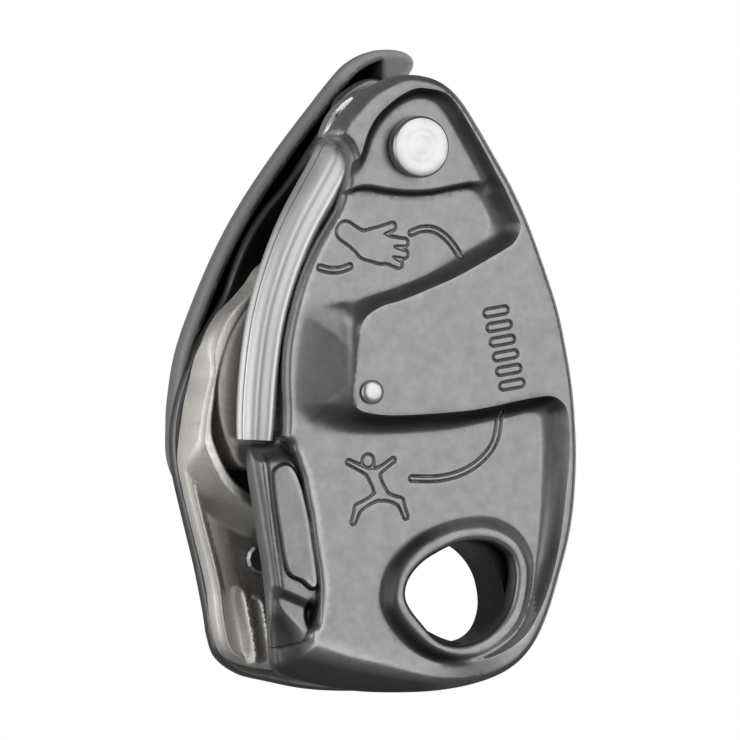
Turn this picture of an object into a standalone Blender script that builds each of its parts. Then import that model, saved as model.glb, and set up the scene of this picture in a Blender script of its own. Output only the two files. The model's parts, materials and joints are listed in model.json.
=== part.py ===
"""Assisted-braking belay device for climbing: two side plates, a cam, a wear shell and a handle.

The device stands upright, its attachment hole at the bottom. +X is the right of the front view,
+Y points from the swinging front plate to the handle at the back, and +Z is up. The origin is the
centre of the attachment hole, on the middle plane between the two side plates.
Lengths are in millimetres until MM turns them into metres. Outlines are lists of (x, z).
"""
import math

import bmesh
import bpy

MM = 0.001

# Driving dimensions
HALF_GAP = 8.0                      # each plate's inner face from the middle plane
WEB = 2.0                           # thickness of the front plate in its pockets
RIM = 3.0                           # how far the rim and the plateau stand forward of the pockets
FIXED_THICKNESS = 3.0
HANDLE_GAP = 1.0                    # between the fixed plate's back and the handle
HANDLE_DEPTH = 10.0
HANDLE_WALL = 2.2
CLEARANCE = 0.3                     # between pieces that touch or turn in each other

PIVOT = (-7.0, 70.0)                # axis that the front plate swings about
CAM_AXIS = (-15.5, 31.5)            # axis of the cam, the handle and the mode selector
SPRING_TURNS = 2
SPRING_WIRE = 0.5                   # radius

PLATEAU_Y = -HALF_GAP - WEB - RIM
POCKET_Y = -HALF_GAP - WEB
INNER_Y = -HALF_GAP
FIXED_FRONT = HALF_GAP
FIXED_BACK = HALF_GAP + FIXED_THICKNESS
HANDLE_FRONT = FIXED_BACK + HANDLE_GAP
HANDLE_BACK = HANDLE_FRONT + HANDLE_DEPTH

RIVET_HEAD_Y = PLATEAU_Y + 2.0      # floor of the triangle round the main rivet
RING_Y = POCKET_Y - 1.8             # front of the raised ring round the attachment hole
PAD_Y = POCKET_Y + 1.1              # front of the flange's pad
FLANGE_BACK = -4.4                  # back edge of the front plate's left flange
CAM_FRONT = -1.0                    # front of the cam's thin left part
CAM_RIM_FRONT = -7.2                # front of the cam's thick rope rim
CAM_BACK = 7.4
SHELL_BACK = FIXED_FRONT - CLEARANCE
SHELL_FLOOR = 6.6
AXLE_RADIUS = 4.0
AXLE_FRONT = -5.9
AXLE_BACK = 18.6
HUB_RADIUS = 10.2
HUB_FRONT = HANDLE_FRONT - 0.4
PIN_ORBIT = 13.0                    # distance of the drive pin from the cam's axis
PIN_ANGLE = 182.0                   # where the drive pin rests, from +X towards +Z
PIN_RADIUS = 1.7
PIN_BACK = 14.6
CAM_TRAVEL = 18.0                   # degrees, clockwise in the front view
CAM_RADIUS = 20.9                   # of the cam's left side
CAM_BORE = 5.9
CAM_SPRING_RADIUS = 8.1
AXLE_COLLAR = 6.2                   # radius of the collar between the cam and the fixed plate
AXLE_BORE = 2.45
STEM_RADIUS = 2.1                   # the selector's stem, inside the axle
KNOB_RADIUS = 8.2
PIVOT_SHANK = 3.2
PIVOT_BORE = PIVOT_SHANK + CLEARANCE
PIVOT_HEAD = 4.6
FRICTION_RADIUS = 11.0
FRICTION_THICKNESS = 2.2
FRICTION_HALF_WIDTH = 7.6
CATCH_FRONT = -7.7
CATCH_FLOOR = -6.2
CATCH_BACK = -2.6
CATCH_RADIUS = 6.8
CATCH_INNER = 4.6
CATCH_RIVET_RADIUS = 1.0
HOLE_CENTRE = (0.2, 0.3)            # middle of the collar round the attachment hole
COLLAR_RADIUS = 12.4
COLLAR_BASE = 15.4
DISH_RADIUS = 10.2                  # at the dish's floor
DISH_FLOOR = 3.7
CORE_FRONT = 17.2
CORE_BACK = 19.5
PAWL_FRONT = 12.6
PAWL_BACK = 16.0
PAWL_PIN_RADIUS = 1.1

# Small rivets
STRIP_RIVETS = [(-26.8, 32.0), (-25.7, 43.0), (-21.7, 53.5)]
FRICTION_RIVETS = [(-11.7, 74.6), (-11.7, 65.4)]
SHELL_RIVETS = [(-26.3, 5.2), (-21.0, -6.5)]
CORE_RIVETS = [(-24.4, 42.0), (-16.6, 58.5)]

# Outlines
RIGHT_EDGE = [(-5.5, 81.0), (-2.4, 79.8), (0.4, 77.3), (3.3, 73.2), (6.2, 68.6), (9.3, 63.5),
              (12.2, 57.6), (15.2, 50.0), (17.1, 44.5), (18.4, 39.0), (19.5, 33.0), (20.1, 27.0),
              (20.3, 21.0), (19.9, 14.0), (19.0, 8.5), (17.6, 3.5), (15.5, -3.0), (13.0, -8.0),
              (9.5, -11.6), (4.5, -14.0), (-2.0, -15.4), (-10.0, -15.7), (-17.0, -15.3),
              (-23.5, -14.1)]
PLATE_OUTLINE = RIGHT_EDGE + [
    (-27.5, -13.0), (-29.2, -11.2), (-29.6, -7.0), (-29.8, -3.0), (-30.4, 3.0), (-31.4, 9.0),
    (-32.4, 15.0), (-33.2, 20.5), (-32.6, 23.4), (-28.9, 23.9), (-27.9, 28.0), (-28.0, 34.0),
    (-27.6, 40.0), (-25.6, 48.0), (-22.8, 54.5), (-18.9, 60.0), (-17.1, 63.5), (-17.3, 67.0),
    (-19.3, 70.3), (-20.6, 72.3), (-17.2, 76.8), (-14.0, 79.3), (-9.5, 81.2)]
FIXED_OUTLINE = RIGHT_EDGE + [
    (-28.5, -12.9), (-32.2, -10.4), (-33.6, -7.0), (-34.3, -3.0), (-35.8, 4.0), (-37.9, 12.0),
    (-39.6, 19.0), (-40.0, 25.0), (-39.6, 31.0), (-37.9, 37.5), (-34.6, 42.5), (-32.0, 46.5),
    (-29.9, 51.0), (-27.5, 55.5), (-24.3, 60.0), (-22.3, 64.0), (-18.6, 69.5), (-15.5, 75.0),
    (-12.3, 79.5), (-9.0, 81.0)]
LOW_POCKET = [
    (-16.2, 63.6), (-12.0, 63.0), (-8.0, 62.7), (-4.0, 63.0), (0.0, 64.0), (3.4, 64.8),
    (5.6, 63.4), (7.8, 59.5), (8.0, 57.0), (6.6, 55.2), (0.0, 51.8), (-5.0, 49.0),
    (-10.0, 47.3), (-15.0, 46.0), (-20.0, 44.5), (-22.5, 42.0), (-23.0, 36.0), (-23.0, 30.0),
    (-21.5, 27.3), (-15.0, 26.3), (-5.0, 26.5), (5.0, 27.8), (10.0, 28.8), (14.6, 29.6),
    (16.3, 28.3), (16.7, 22.0), (16.2, 15.0), (15.4, 8.0), (14.2, 2.0), (12.3, -4.0),
    (9.3, -8.6), (4.0, -11.2), (-5.0, -11.5), (-12.0, -10.7), (-20.0, -9.2), (-26.0, -6.9),
    (-34.0, -6.0), (-40.0, 0.0), (-42.0, 30.0), (-36.0, 58.0), (-24.0, 64.5)]
RIVET_TRIANGLE = [(-17.2, 64.0), (-14.5, 67.8), (-13.6, 72.5), (-11.8, 76.6), (-8.0, 78.4),
                  (-3.6, 78.0), (-0.4, 74.6), (3.0, 68.5), (4.6, 64.6), (0.0, 63.0),
                  (-7.0, 61.7), (-13.0, 62.4)]
FLANGE_STEP = [(-26.7, 23.5), (-24.9, 18.0), (-24.0, 12.0), (-23.1, 6.0), (-22.5, 0.5),
               (-23.0, -5.0), (-26.0, -6.6), (-38.0, -8.0), (-40.0, 8.0), (-38.0, 27.0)]
FLANGE_OUTLINE = [(-27.4, 23.2), (-25.6, 19.0), (-24.4, 12.0), (-23.6, 6.0), (-23.0, 0.0),
                  (-23.4, -6.0), (-24.4, -10.6), (-28.4, -10.9), (-29.2, -7.0), (-29.4, -3.0),
                  (-30.0, 3.0), (-31.0, 9.0), (-32.0, 15.0), (-32.8, 20.5), (-32.3, 23.0)]
LIP_OUTLINE = [(-28.2, 25.5), (-28.3, 33.0), (-27.9, 40.0), (-25.9, 48.0), (-23.1, 54.6),
               (-20.0, 59.0), (-18.8, 59.0), (-21.9, 54.0), (-24.6, 47.5), (-26.4, 40.0),
               (-26.7, 33.0), (-26.7, 25.5)]
PLATEAU_RECESS = [(-9.0, 30.6), (0.0, 31.2), (9.0, 32.6), (14.8, 33.6), (15.2, 38.0),
                  (13.6, 44.0), (11.0, 50.0), (8.0, 51.6), (0.0, 47.6), (-6.0, 45.2),
                  (-11.0, 43.0), (-13.2, 40.0), (-11.5, 36.5), (-9.5, 34.0)]
HOLE_OUTLINE = [(-9.5, 0.0), (-8.8, 2.5), (-6.5, 5.0), (-3.0, 7.0), (0.0, 8.1), (3.0, 8.4),
                (6.0, 7.9), (8.5, 6.2), (9.4, 3.5), (9.2, 0.5), (8.3, -2.5), (6.5, -5.0),
                (4.0, -6.9), (1.0, -7.9), (-2.0, -7.8), (-4.5, -6.7), (-7.0, -4.2), (-8.8, -2.0)]
RING_OUTLINE = [(-11.8, 0.0), (-10.6, 3.8), (-7.4, 7.2), (-3.4, 9.4), (1.0, 10.6), (5.6, 10.6),
                (9.6, 8.6), (11.7, 4.8), (11.6, 0.0), (10.2, -4.4), (7.2, -7.8), (3.4, -9.8),
                (-1.0, -10.2), (-5.2, -8.8), (-8.6, -6.0), (-11.2, -2.8)]
STRIP_PATH = [(-32.4, 24.8), (-32.1, 31.0), (-31.5, 37.0), (-30.7, 42.5), (-29.3, 48.0),
              (-27.2, 54.0), (-25.4, 57.3), (-23.8, 60.2), (-22.4, 63.4), (-21.4, 66.4),
              (-21.1, 68.4), (-20.9, 69.8)]
STRIP_RADIUS = 2.9
STRIP_Y = -6.0
SHELL_FLOOR_OUTLINE = [
    (-39.3, 20.5), (-38.5, 16.0), (-37.5, 12.0), (-36.5, 8.0), (-35.4, 4.0), (-34.5, 0.0),
    (-34.0, -4.0), (-33.2, -8.0), (-31.4, -10.3), (-28.0, -11.6), (-23.0, -12.2),
    (-18.5, -12.0), (-17.0, -8.0), (-16.6, 0.0), (-17.0, 6.0), (-19.0, 9.6), (-23.0, 10.5),
    (-27.5, 12.0), (-31.5, 14.5), (-34.8, 17.8), (-37.0, 21.8)]
SHELL_LIP_OUTLINE = [
    (-39.3, 20.5), (-38.5, 16.0), (-37.5, 12.0), (-36.5, 8.0), (-35.4, 4.0), (-34.5, 0.0),
    (-34.0, -4.0), (-33.3, -7.6), (-31.7, -7.8), (-32.3, -4.0), (-32.8, 0.0), (-33.7, 4.0),
    (-34.8, 8.0), (-35.8, 12.0), (-36.8, 16.0), (-37.6, 20.5)]
CAM_TOP = [(-19.5, 51.9), (-14.0, 50.8),
           (-8.5, 49.0), (-3.0, 45.4), (0.9, 40.0), (2.3, 34.0), (1.6, 28.0), (-1.4, 23.4),
           (-6.5, 20.6), (-13.0, 19.6), (-20.0, 19.4), (-27.0, 19.0), (-31.4, 19.4)]
CAM_RIM_OUTLINE = [(-15.0, 51.6), (-8.5, 49.4), (-3.0, 45.8), (1.2, 40.3), (2.7, 34.0),
                   (2.0, 27.7), (-1.2, 22.9), (-5.8, 20.0), (-8.6, 20.3), (-7.2, 24.0),
                   (-6.7, 29.0), (-7.0, 35.0), (-9.4, 40.0), (-13.4, 43.0), (-15.6, 46.6)]
ROPE_PATH = [(-40.0, 62.0), (-30.0, 60.0), (-20.0, 57.9), (-12.0, 55.0), (-4.5, 51.6), (2.0, 46.0),
             (6.0, 39.5), (7.2, 33.0), (5.8, 26.4), (2.0, 20.6), (-4.0, 17.0), (-12.0, 14.4),
             (-22.0, 8.8), (-40.0, 0.0)]
HANDLE_OUTLINE = [
    (3.3, 83.6), (2.2, 85.1), (-0.6, 85.7), (-3.4, 85.4), (-6.4, 84.3), (-9.3, 82.2),
    (-15.0, 75.9), (-20.2, 69.5), (-26.1, 61.6), (-30.9, 53.6), (-35.3, 44.4), (-37.8, 37.6),
    (-39.0, 30.8), (-39.2, 26.2), (-38.4, 20.6), (-35.8, 16.4), (-31.0, 13.4), (-25.0, 12.2),
    (-18.0, 13.8), (-9.5, 17.0), (-3.0, 21.8), (0.2, 29.5), (0.4, 38.0), (-0.4, 46.0),
    (-3.2, 54.0), (-5.8, 61.0), (-6.6, 67.0), (-5.2, 73.0), (-1.8, 78.0), (2.2, 81.4)]
HANDLE_CORE_ARM = [(-5.2, 40.0), (-6.6, 47.0), (-9.8, 56.0), (-11.8, 61.4), (-16.4, 63.2),
                   (-19.4, 59.6), (-24.0, 51.0), (-26.8, 41.0)]
PAWL_OUTLINE = [(-10.4, 40.9), (-8.4, 41.4), (-6.0, 43.6), (-4.4, 46.2), (-4.8, 49.0),
                (-6.8, 50.0), (-8.6, 48.6), (-9.0, 46.2), (-10.6, 44.2)]
PAWL_PIVOT = (-6.7, 47.4)


def new_collection(name):
    collection = bpy.data.collections.new(name)
    bpy.context.scene.collection.children.link(collection)
    return collection


def clear_scene():
    for obj in list(bpy.data.objects):
        bpy.data.objects.remove(obj, do_unlink=True)


clear_scene()
DEVICE = new_collection("belay_device")
TOOLS = new_collection("belay_device_cutters")


# Shape helpers

def material(name, colour, roughness, metallic):
    made = bpy.data.materials.new(name)
    made.use_nodes = True
    shader = made.node_tree.nodes["Principled BSDF"]
    shader.inputs["Base Color"].default_value = (*colour, 1.0)
    shader.inputs["Roughness"].default_value = roughness
    shader.inputs["Metallic"].default_value = metallic
    return made


def link(obj):
    DEVICE.objects.link(obj)
    return obj


def as_tool(obj):
    """Make an object a cutter or a joining shape, which is no piece of the device."""
    DEVICE.objects.unlink(obj)
    TOOLS.objects.link(obj)
    obj.hide_render = True
    obj.display_type = "WIRE"
    return obj


def curve_to_mesh(source):
    """Replace a filled curve with a welded mesh object of the same name and place."""
    bpy.context.view_layer.update()
    evaluated = source.evaluated_get(bpy.context.evaluated_depsgraph_get())
    mesh = bpy.data.meshes.new_from_object(evaluated)
    work = bmesh.new()
    work.from_mesh(mesh)
    bmesh.ops.remove_doubles(work, verts=work.verts, dist=0.002 * MM)
    bmesh.ops.recalc_face_normals(work, faces=work.faces)
    work.to_mesh(mesh)
    work.free()
    name = source.name
    place = source.matrix_world.copy()
    bpy.data.objects.remove(source, do_unlink=True)
    solid = link(bpy.data.objects.new(name, mesh))
    solid.matrix_world = place
    return solid


def flat_solid(name, outline, front, back, edge=0.0, grow=0.0, steps=2, sharp=False):
    """A solid with a closed outline in X and Z, from y = front to y = back."""
    curve = bpy.data.curves.new(name, "CURVE")
    curve.dimensions = "2D"
    curve.fill_mode = "BOTH"
    curve.resolution_u = steps
    curve.extrude = ((back - front) / 2 - edge) * MM
    curve.bevel_depth = edge * MM
    curve.bevel_resolution = 0
    curve.offset = (grow - edge) * MM
    spline = curve.splines.new("BEZIER")
    spline.bezier_points.add(len(outline) - 1)
    spline.use_cyclic_u = True
    for knot, (x, z) in zip(spline.bezier_points, outline):
        knot.co = (x * MM, z * MM, 0.0)
        knot.handle_left_type = "VECTOR" if sharp else "AUTO"
        knot.handle_right_type = knot.handle_left_type
    solid = link(bpy.data.objects.new(name, curve))
    solid.rotation_euler = (math.pi / 2, 0.0, 0.0)
    solid.location = (0.0, (front + back) / 2 * MM, 0.0)
    return curve_to_mesh(solid)


def turned(name, profile, centre, sides=24, closed=True):
    """A round piece on an axis along Y. Its profile, (radius, y), runs from back to front
    along its outer side, and returns along its bore where it is a closed ring."""
    mesh = bpy.data.meshes.new(name)
    count = len(profile)
    rims = [(index, index + 1) for index in range(count - 1)]
    if closed:
        rims.append((count - 1, 0))
    mesh.from_pydata([(radius * MM, 0.0, y * MM) for radius, y in profile], rims, [])
    piece = link(bpy.data.objects.new(name, mesh))
    screw = piece.modifiers.new("turn", "SCREW")
    screw.axis = "Z"
    screw.angle = 2 * math.pi
    screw.steps = sides
    screw.render_steps = sides
    screw.use_merge_vertices = True
    screw.merge_threshold = 0.002 * MM
    piece.rotation_euler = (-math.pi / 2, 0.0, 0.0)
    piece.location = (centre[0] * MM, 0.0, centre[1] * MM)
    return piece


def rod(name, centre, radius, front, back, sides=24):
    """A plain round bar along Y."""
    return turned(name, [(0.0, back), (radius, back), (radius, front), (0.0, front)],
                  centre, sides, closed=False)


def ring(name, centre, inner, outer, front, back, sides=24):
    """A tube or washer along Y."""
    return turned(name, [(outer, back), (outer, front), (inner, front), (inner, back)],
                  centre, sides)


def coil(name, centre, radius, front, back, turns):
    """A torsion spring's coil round an axis along Y."""
    steps = turns * 12
    curve = bpy.data.curves.new(name, "CURVE")
    curve.dimensions = "3D"
    curve.bevel_depth = SPRING_WIRE * MM
    curve.bevel_resolution = 2
    curve.use_fill_caps = True
    spline = curve.splines.new("POLY")
    spline.points.add(steps)
    for index, point in enumerate(spline.points):
        angle = 2 * math.pi * turns * index / steps
        y = front + (back - front) * index / steps
        x = centre[0] + radius * math.cos(angle)
        z = centre[1] + radius * math.sin(angle)
        point.co = (x * MM, y * MM, z * MM, 1.0)
    return link(bpy.data.objects.new(name, curve))


def arc(centre, radius, start, end, count):
    """Points on a circle in X and Z, at angles in degrees from +X towards +Z."""
    angles = [math.radians(start + (end - start) * index / count) for index in range(count + 1)]
    return [(centre[0] + radius * math.cos(angle), centre[1] + radius * math.sin(angle))
            for angle in angles]


def boolean(target, tool, operation):
    modifier = target.modifiers.new(tool.name, "BOOLEAN")
    modifier.operation = operation
    modifier.solver = "EXACT"
    modifier.object = as_tool(tool)


def cut(target, tool):
    boolean(target, tool, "DIFFERENCE")


def join(target, tool):
    boolean(target, tool, "UNION")


def drill(target, centre, radius, front, back):
    """A round hole along Y, whose flats stand at the given radius."""
    cut(target, rod("drill", centre, radius / math.cos(math.pi / 16), front, back, sides=16))


def counterbore(target, centre, wide, step, narrow, front, back):
    """A through hole, wider behind y = step, whose flats stand at the given radii."""
    wide = wide / math.cos(math.pi / 24)
    narrow = narrow / math.cos(math.pi / 24)
    cut(target, turned("counterbore", [
        (0.0, back), (wide, back), (wide, step), (narrow, step), (narrow, front),
        (0.0, front)], centre, 24, closed=False))


def finish(piece, look):
    """Give a piece its one material."""
    piece.data.materials.clear()
    piece.data.materials.append(look)
    return piece


# Materials
GREY_ANODISED = material("grey_anodised", (0.27, 0.27, 0.28), 0.38, 0.85)
DARK_ANODISED = material("dark_anodised", (0.17, 0.17, 0.18), 0.42, 0.85)
STAINLESS = material("stainless", (0.82, 0.82, 0.82), 0.24, 1.0)
BLASTED_STAINLESS = material("blasted_stainless", (0.55, 0.53, 0.50), 0.5, 1.0)
CAST_CAM = material("cast_cam", (0.38, 0.35, 0.33), 0.52, 1.0)
NYLON = material("handle_nylon", (0.13, 0.13, 0.13), 0.5, 0.0)
SPRING_STEEL = material("spring_steel", (0.55, 0.55, 0.56), 0.35, 1.0)
BRONZE = material("bronze", (0.55, 0.38, 0.2), 0.4, 1.0)


# Front plate, which swings about the main pivot

def moving_side_plate():
    plate = flat_solid("moving_side_plate", PLATE_OUTLINE, PLATEAU_Y, INNER_Y, edge=0.6)
    cut(plate, flat_solid("low_pocket", LOW_POCKET, PLATEAU_Y - 2, POCKET_Y))
    cut(plate, flat_solid("rivet_triangle", RIVET_TRIANGLE, PLATEAU_Y - 2, RIVET_HEAD_Y))
    cut(plate, flat_solid("flange_step", FLANGE_STEP, PLATEAU_Y - 2, PAD_Y))
    join(plate, flat_solid("flange", FLANGE_OUTLINE, PAD_Y + 0.4, FLANGE_BACK))
    join(plate, flat_solid("strip_lip", LIP_OUTLINE, POCKET_Y + 0.5, -3.6))
    join(plate, flat_solid("hole_ring", RING_OUTLINE, RING_Y, POCKET_Y + 1))
    cut(plate, flat_solid("plateau_recess", PLATEAU_RECESS, PLATEAU_Y + 2.5, INNER_Y + 2))
    cut(plate, flat_solid("front_hole", HOLE_OUTLINE, PLATEAU_Y - 2, INNER_Y + 2))
    drill(plate, PIVOT, PIVOT_BORE, PLATEAU_Y - 2, INNER_Y + 2)
    drill(plate, CAM_AXIS, CATCH_RIVET_RADIUS + CLEARANCE, PLATEAU_Y - 2, INNER_Y + 2)
    for x, z in STRIP_RIVETS:
        hole = rod("rivet_hole", (0.0, 0.0), 1.08, -4.0, 4.0, sides=12)
        hole.rotation_euler = strip_rivet_turn()
        hole.location = (x * MM, STRIP_Y * MM, z * MM)
        cut(plate, hole)
    return finish(plate, GREY_ANODISED)


def strip_rivet_turn():
    """Turns an axis along Y to run along X, its front towards -X."""
    return (-math.pi / 2, 0.0, -math.pi / 2)


def wear_strip():
    curve = bpy.data.curves.new("wear_strip", "CURVE")
    curve.dimensions = "3D"
    curve.bevel_depth = STRIP_RADIUS * MM
    curve.bevel_resolution = 3
    curve.resolution_u = 2
    curve.use_fill_caps = True
    spline = curve.splines.new("BEZIER")
    spline.bezier_points.add(len(STRIP_PATH) - 1)
    for knot, (x, z) in zip(spline.bezier_points, STRIP_PATH):
        knot.co = (x * MM, STRIP_Y * MM, z * MM)
        knot.handle_left_type = "AUTO"
        knot.handle_right_type = "AUTO"
    spline.bezier_points[-2].radius = 0.85
    spline.bezier_points[-1].radius = 0.45
    return finish(link(bpy.data.objects.new("wear_strip", curve)), STAINLESS)


def strip_rivet(number, x, z):
    """A small rivet in the front plate's lip, its head on the inner side."""
    rivet = turned(f"strip_rivet_{number}", [
        (0.0, 1.9), (0.9, 1.9), (1.3, 1.5), (1.3, 1.1), (0.7, 1.1), (0.7, -0.7), (0.0, -0.7)],
        (0.0, 0.0), 12, closed=False)
    rivet.rotation_euler = strip_rivet_turn()
    rivet.location = (x * MM, STRIP_Y * MM, z * MM)
    return finish(rivet, STAINLESS)


def axle_catch():
    """Cup riveted inside the front plate, open to the right, that closes on the cam's axle."""
    catch = rod("axle_catch", CAM_AXIS, CATCH_RADIUS, CATCH_FRONT, CATCH_FLOOR)
    x, z = CAM_AXIS
    outer = CATCH_RADIUS - 0.1
    mouth = [(x + 0.5, z + outer)] + arc(CAM_AXIS, outer, 95, 265, 12) + [(x + 0.5, z - outer)]
    mouth += ([(x + 0.5, z - CATCH_INNER)] + arc(CAM_AXIS, CATCH_INNER, 265, 95, 10)
              + [(x + 0.5, z + CATCH_INNER)])
    join(catch, flat_solid("catch_wall", mouth, CATCH_FLOOR - 0.4, CATCH_BACK, sharp=True,
                           steps=1))
    drill(catch, CAM_AXIS, CATCH_RIVET_RADIUS + CLEARANCE, CATCH_FRONT - 1, CATCH_FLOOR + 1)
    return finish(catch, STAINLESS)


def catch_rivet():
    tail = CATCH_FLOOR - CLEARANCE
    head = PLATEAU_Y - CLEARANCE
    return finish(turned("catch_rivet", [
        (0.0, tail), (CATCH_RIVET_RADIUS, tail), (CATCH_RIVET_RADIUS, head), (1.9, head),
        (1.9, head - 0.3), (1.5, head - 0.5), (0.0, head - 0.6)],
        CAM_AXIS, closed=False), STAINLESS)


# Main pivot and friction plate

def main_pivot_pin():
    head = RIVET_HEAD_Y - CLEARANCE
    return finish(turned("main_pivot_pin", [
        (0.0, FIXED_BACK - 0.1), (4.3, FIXED_BACK - 0.1), (4.3, FIXED_BACK - 1.4),
        (PIVOT_SHANK, FIXED_BACK - 1.9), (PIVOT_SHANK, head), (PIVOT_HEAD, head),
        (PIVOT_HEAD, head - 1.6), (PIVOT_HEAD - 0.4, head - 2.0), (0.0, head - 2.0)],
        PIVOT, 32, closed=False), STAINLESS)


def pivot_washer():
    return finish(ring("pivot_washer", PIVOT, PIVOT_BORE, 7.0, -7.7, -7.1), STAINLESS)


def pivot_spacer():
    return finish(ring("pivot_spacer", PIVOT, PIVOT_BORE, 4.6, -6.8, 5.3), SPRING_STEEL)


def friction_plate():
    """Bent stainless band that the brake strand runs over, on a web against the fixed plate."""
    inner = FRICTION_RADIUS - FRICTION_THICKNESS
    edge = FRICTION_HALF_WIDTH
    band = arc(PIVOT, FRICTION_RADIUS, 48, 300, 24) + arc(PIVOT, inner, 300, 48, 20)
    plate = flat_solid("friction_plate", band, -edge, edge, sharp=True, steps=1)
    web = arc(PIVOT, inner + 1.2, 52, 296, 18)
    join(plate, flat_solid("friction_web", web, edge - 1.9, edge, sharp=True, steps=1))
    drill(plate, PIVOT, PIVOT_BORE, 4.0, 9.0)
    for centre in FRICTION_RIVETS:
        drill(plate, centre, 1.3, 4.0, 9.0)
    return finish(plate, STAINLESS)


def through_rivet(name, centre, head, front, back, radius):
    """A rivet along Y, its head forward and its tail flush in the piece behind."""
    return finish(turned(name, [
        (0.0, back), (radius, back), (radius, front), (head, front), (head, front - 0.4),
        (head - 0.4, front - 0.8), (0.0, front - 0.8)], centre, 12, closed=False), STAINLESS)


def friction_plate_rivet(number, centre):
    return through_rivet(f"friction_plate_rivet_{number}", centre, 1.6,
                         5.4, FIXED_BACK - 0.2, 1.0)


# Fixed plate and wear shell

def fixed_side_plate():
    plate = flat_solid("fixed_side_plate", FIXED_OUTLINE, FIXED_FRONT, FIXED_BACK, edge=0.5)
    join(plate, turned("collar", [
        (0.0, FIXED_FRONT + 0.5), (COLLAR_BASE, FIXED_FRONT + 0.5), (COLLAR_RADIUS, 2.0),
        (COLLAR_RADIUS, -7.4), (0.0, -7.4)], HOLE_CENTRE, 32, closed=False))
    cut(plate, turned("dish", [
        (0.0, FIXED_BACK + 1.0), (COLLAR_BASE, FIXED_BACK + 1.0), (DISH_RADIUS, DISH_FLOOR),
        (0.0, DISH_FLOOR)], HOLE_CENTRE, 28, closed=False))
    cut(plate, flat_solid("rear_hole", HOLE_OUTLINE, -9.0, DISH_FLOOR + 1.3))
    counterbore(plate, PIVOT, 4.7, FIXED_BACK - 2.2, PIVOT_BORE, 6.0, 13.0)
    drill(plate, CAM_AXIS, AXLE_RADIUS + CLEARANCE, 6.0, 13.0)
    for centre in FRICTION_RIVETS:
        drill(plate, centre, 1.3, 6.0, 13.0)
    for centre in SHELL_RIVETS:
        drill(plate, centre, 1.6, 6.0, 13.0)
    cut(plate, drive_slot())
    return finish(plate, DARK_ANODISED)


def drive_slot():
    """Curved slot through the fixed plate that the cam's drive pin travels in."""
    half = PIN_RADIUS + 0.5
    outer = arc(CAM_AXIS, PIN_ORBIT + half, PIN_ANGLE - CAM_TRAVEL - 12, PIN_ANGLE + 12, 10)
    inner = arc(CAM_AXIS, PIN_ORBIT - half, PIN_ANGLE + 12, PIN_ANGLE - CAM_TRAVEL - 12, 10)
    return flat_solid("drive_slot", outer + inner, 6.0, 13.0, sharp=True, steps=1)


def wear_shell():
    """Cast stainless liner on the fixed plate: channel floor, left lip and cam housing wall."""
    shell = flat_solid("wear_shell", SHELL_FLOOR_OUTLINE, SHELL_FLOOR, SHELL_BACK)
    join(shell, flat_solid("shell_lip", SHELL_LIP_OUTLINE, 4.9, SHELL_BACK - 0.2))
    wall = arc(CAM_AXIS, 23.1, 118, 236, 18) + arc(CAM_AXIS, 21.6, 236, 118, 16)
    join(shell, flat_solid("cam_wall", wall, CAM_FRONT, SHELL_BACK - 0.1, sharp=True, steps=1))
    for x in (-30.9, -27.0):
        rib = [(x - 1.0, -10.2), (x - 1.0, 0.0), (x, 1.0), (x + 1.0, 0.0), (x + 1.0, -10.6)]
        join(shell, flat_solid("shell_rib", rib, 3.6, SHELL_FLOOR + 0.5, steps=2))
    for centre in SHELL_RIVETS:
        drill(shell, centre, 1.6, 3.0, 9.0)
    return finish(shell, BLASTED_STAINLESS)


def shell_rivet(number, centre):
    return through_rivet(f"shell_rivet_{number}", centre, 2.3,
                         SHELL_FLOOR - CLEARANCE, FIXED_BACK - 0.2, 1.3)


# Cam on its axle

def cam():
    outline = arc(CAM_AXIS, CAM_RADIUS, 214, 118, 12) + CAM_TOP
    body = flat_solid("cam", outline, CAM_FRONT, CAM_BACK, edge=0.5, steps=2)
    join(body, flat_solid("rope_rim", CAM_RIM_OUTLINE, CAM_RIM_FRONT, CAM_FRONT + 2, edge=0.4))
    cut(body, rope_groove())
    counterbore(body, CAM_AXIS, CAM_SPRING_RADIUS + 1.5, 3.0, CAM_BORE, -9.0, 9.0)
    drill(body, arc(CAM_AXIS, PIN_ORBIT, PIN_ANGLE, PIN_ANGLE, 1)[0], PIN_RADIUS + CLEARANCE,
          3.0, 9.0)
    return finish(body, CAST_CAM)


def rope_groove():
    """The space of the rope round the cam, cut out of its rim."""
    curve = bpy.data.curves.new("rope_groove", "CURVE")
    curve.dimensions = "3D"
    curve.bevel_depth = 5.6 * MM
    curve.bevel_resolution = 3
    curve.resolution_u = 3
    curve.use_fill_caps = True
    spline = curve.splines.new("BEZIER")
    spline.bezier_points.add(len(ROPE_PATH) - 1)
    for knot, (x, z) in zip(spline.bezier_points, ROPE_PATH):
        knot.co = (x * MM, 0.0, z * MM)
        knot.handle_left_type = "AUTO"
        knot.handle_right_type = "AUTO"
    return curve_to_mesh(link(bpy.data.objects.new("rope_groove", curve)))


def cam_bush():
    return finish(ring("cam_bush", CAM_AXIS, AXLE_RADIUS + CLEARANCE,
                       CAM_BORE - CLEARANCE, -0.9, 2.7), BRONZE)


def drive_pin():
    centre = arc(CAM_AXIS, PIN_ORBIT, PIN_ANGLE, PIN_ANGLE, 1)[0]
    return finish(rod("drive_pin", centre, PIN_RADIUS, 3.3, PIN_BACK, sides=24), STAINLESS)


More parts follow.
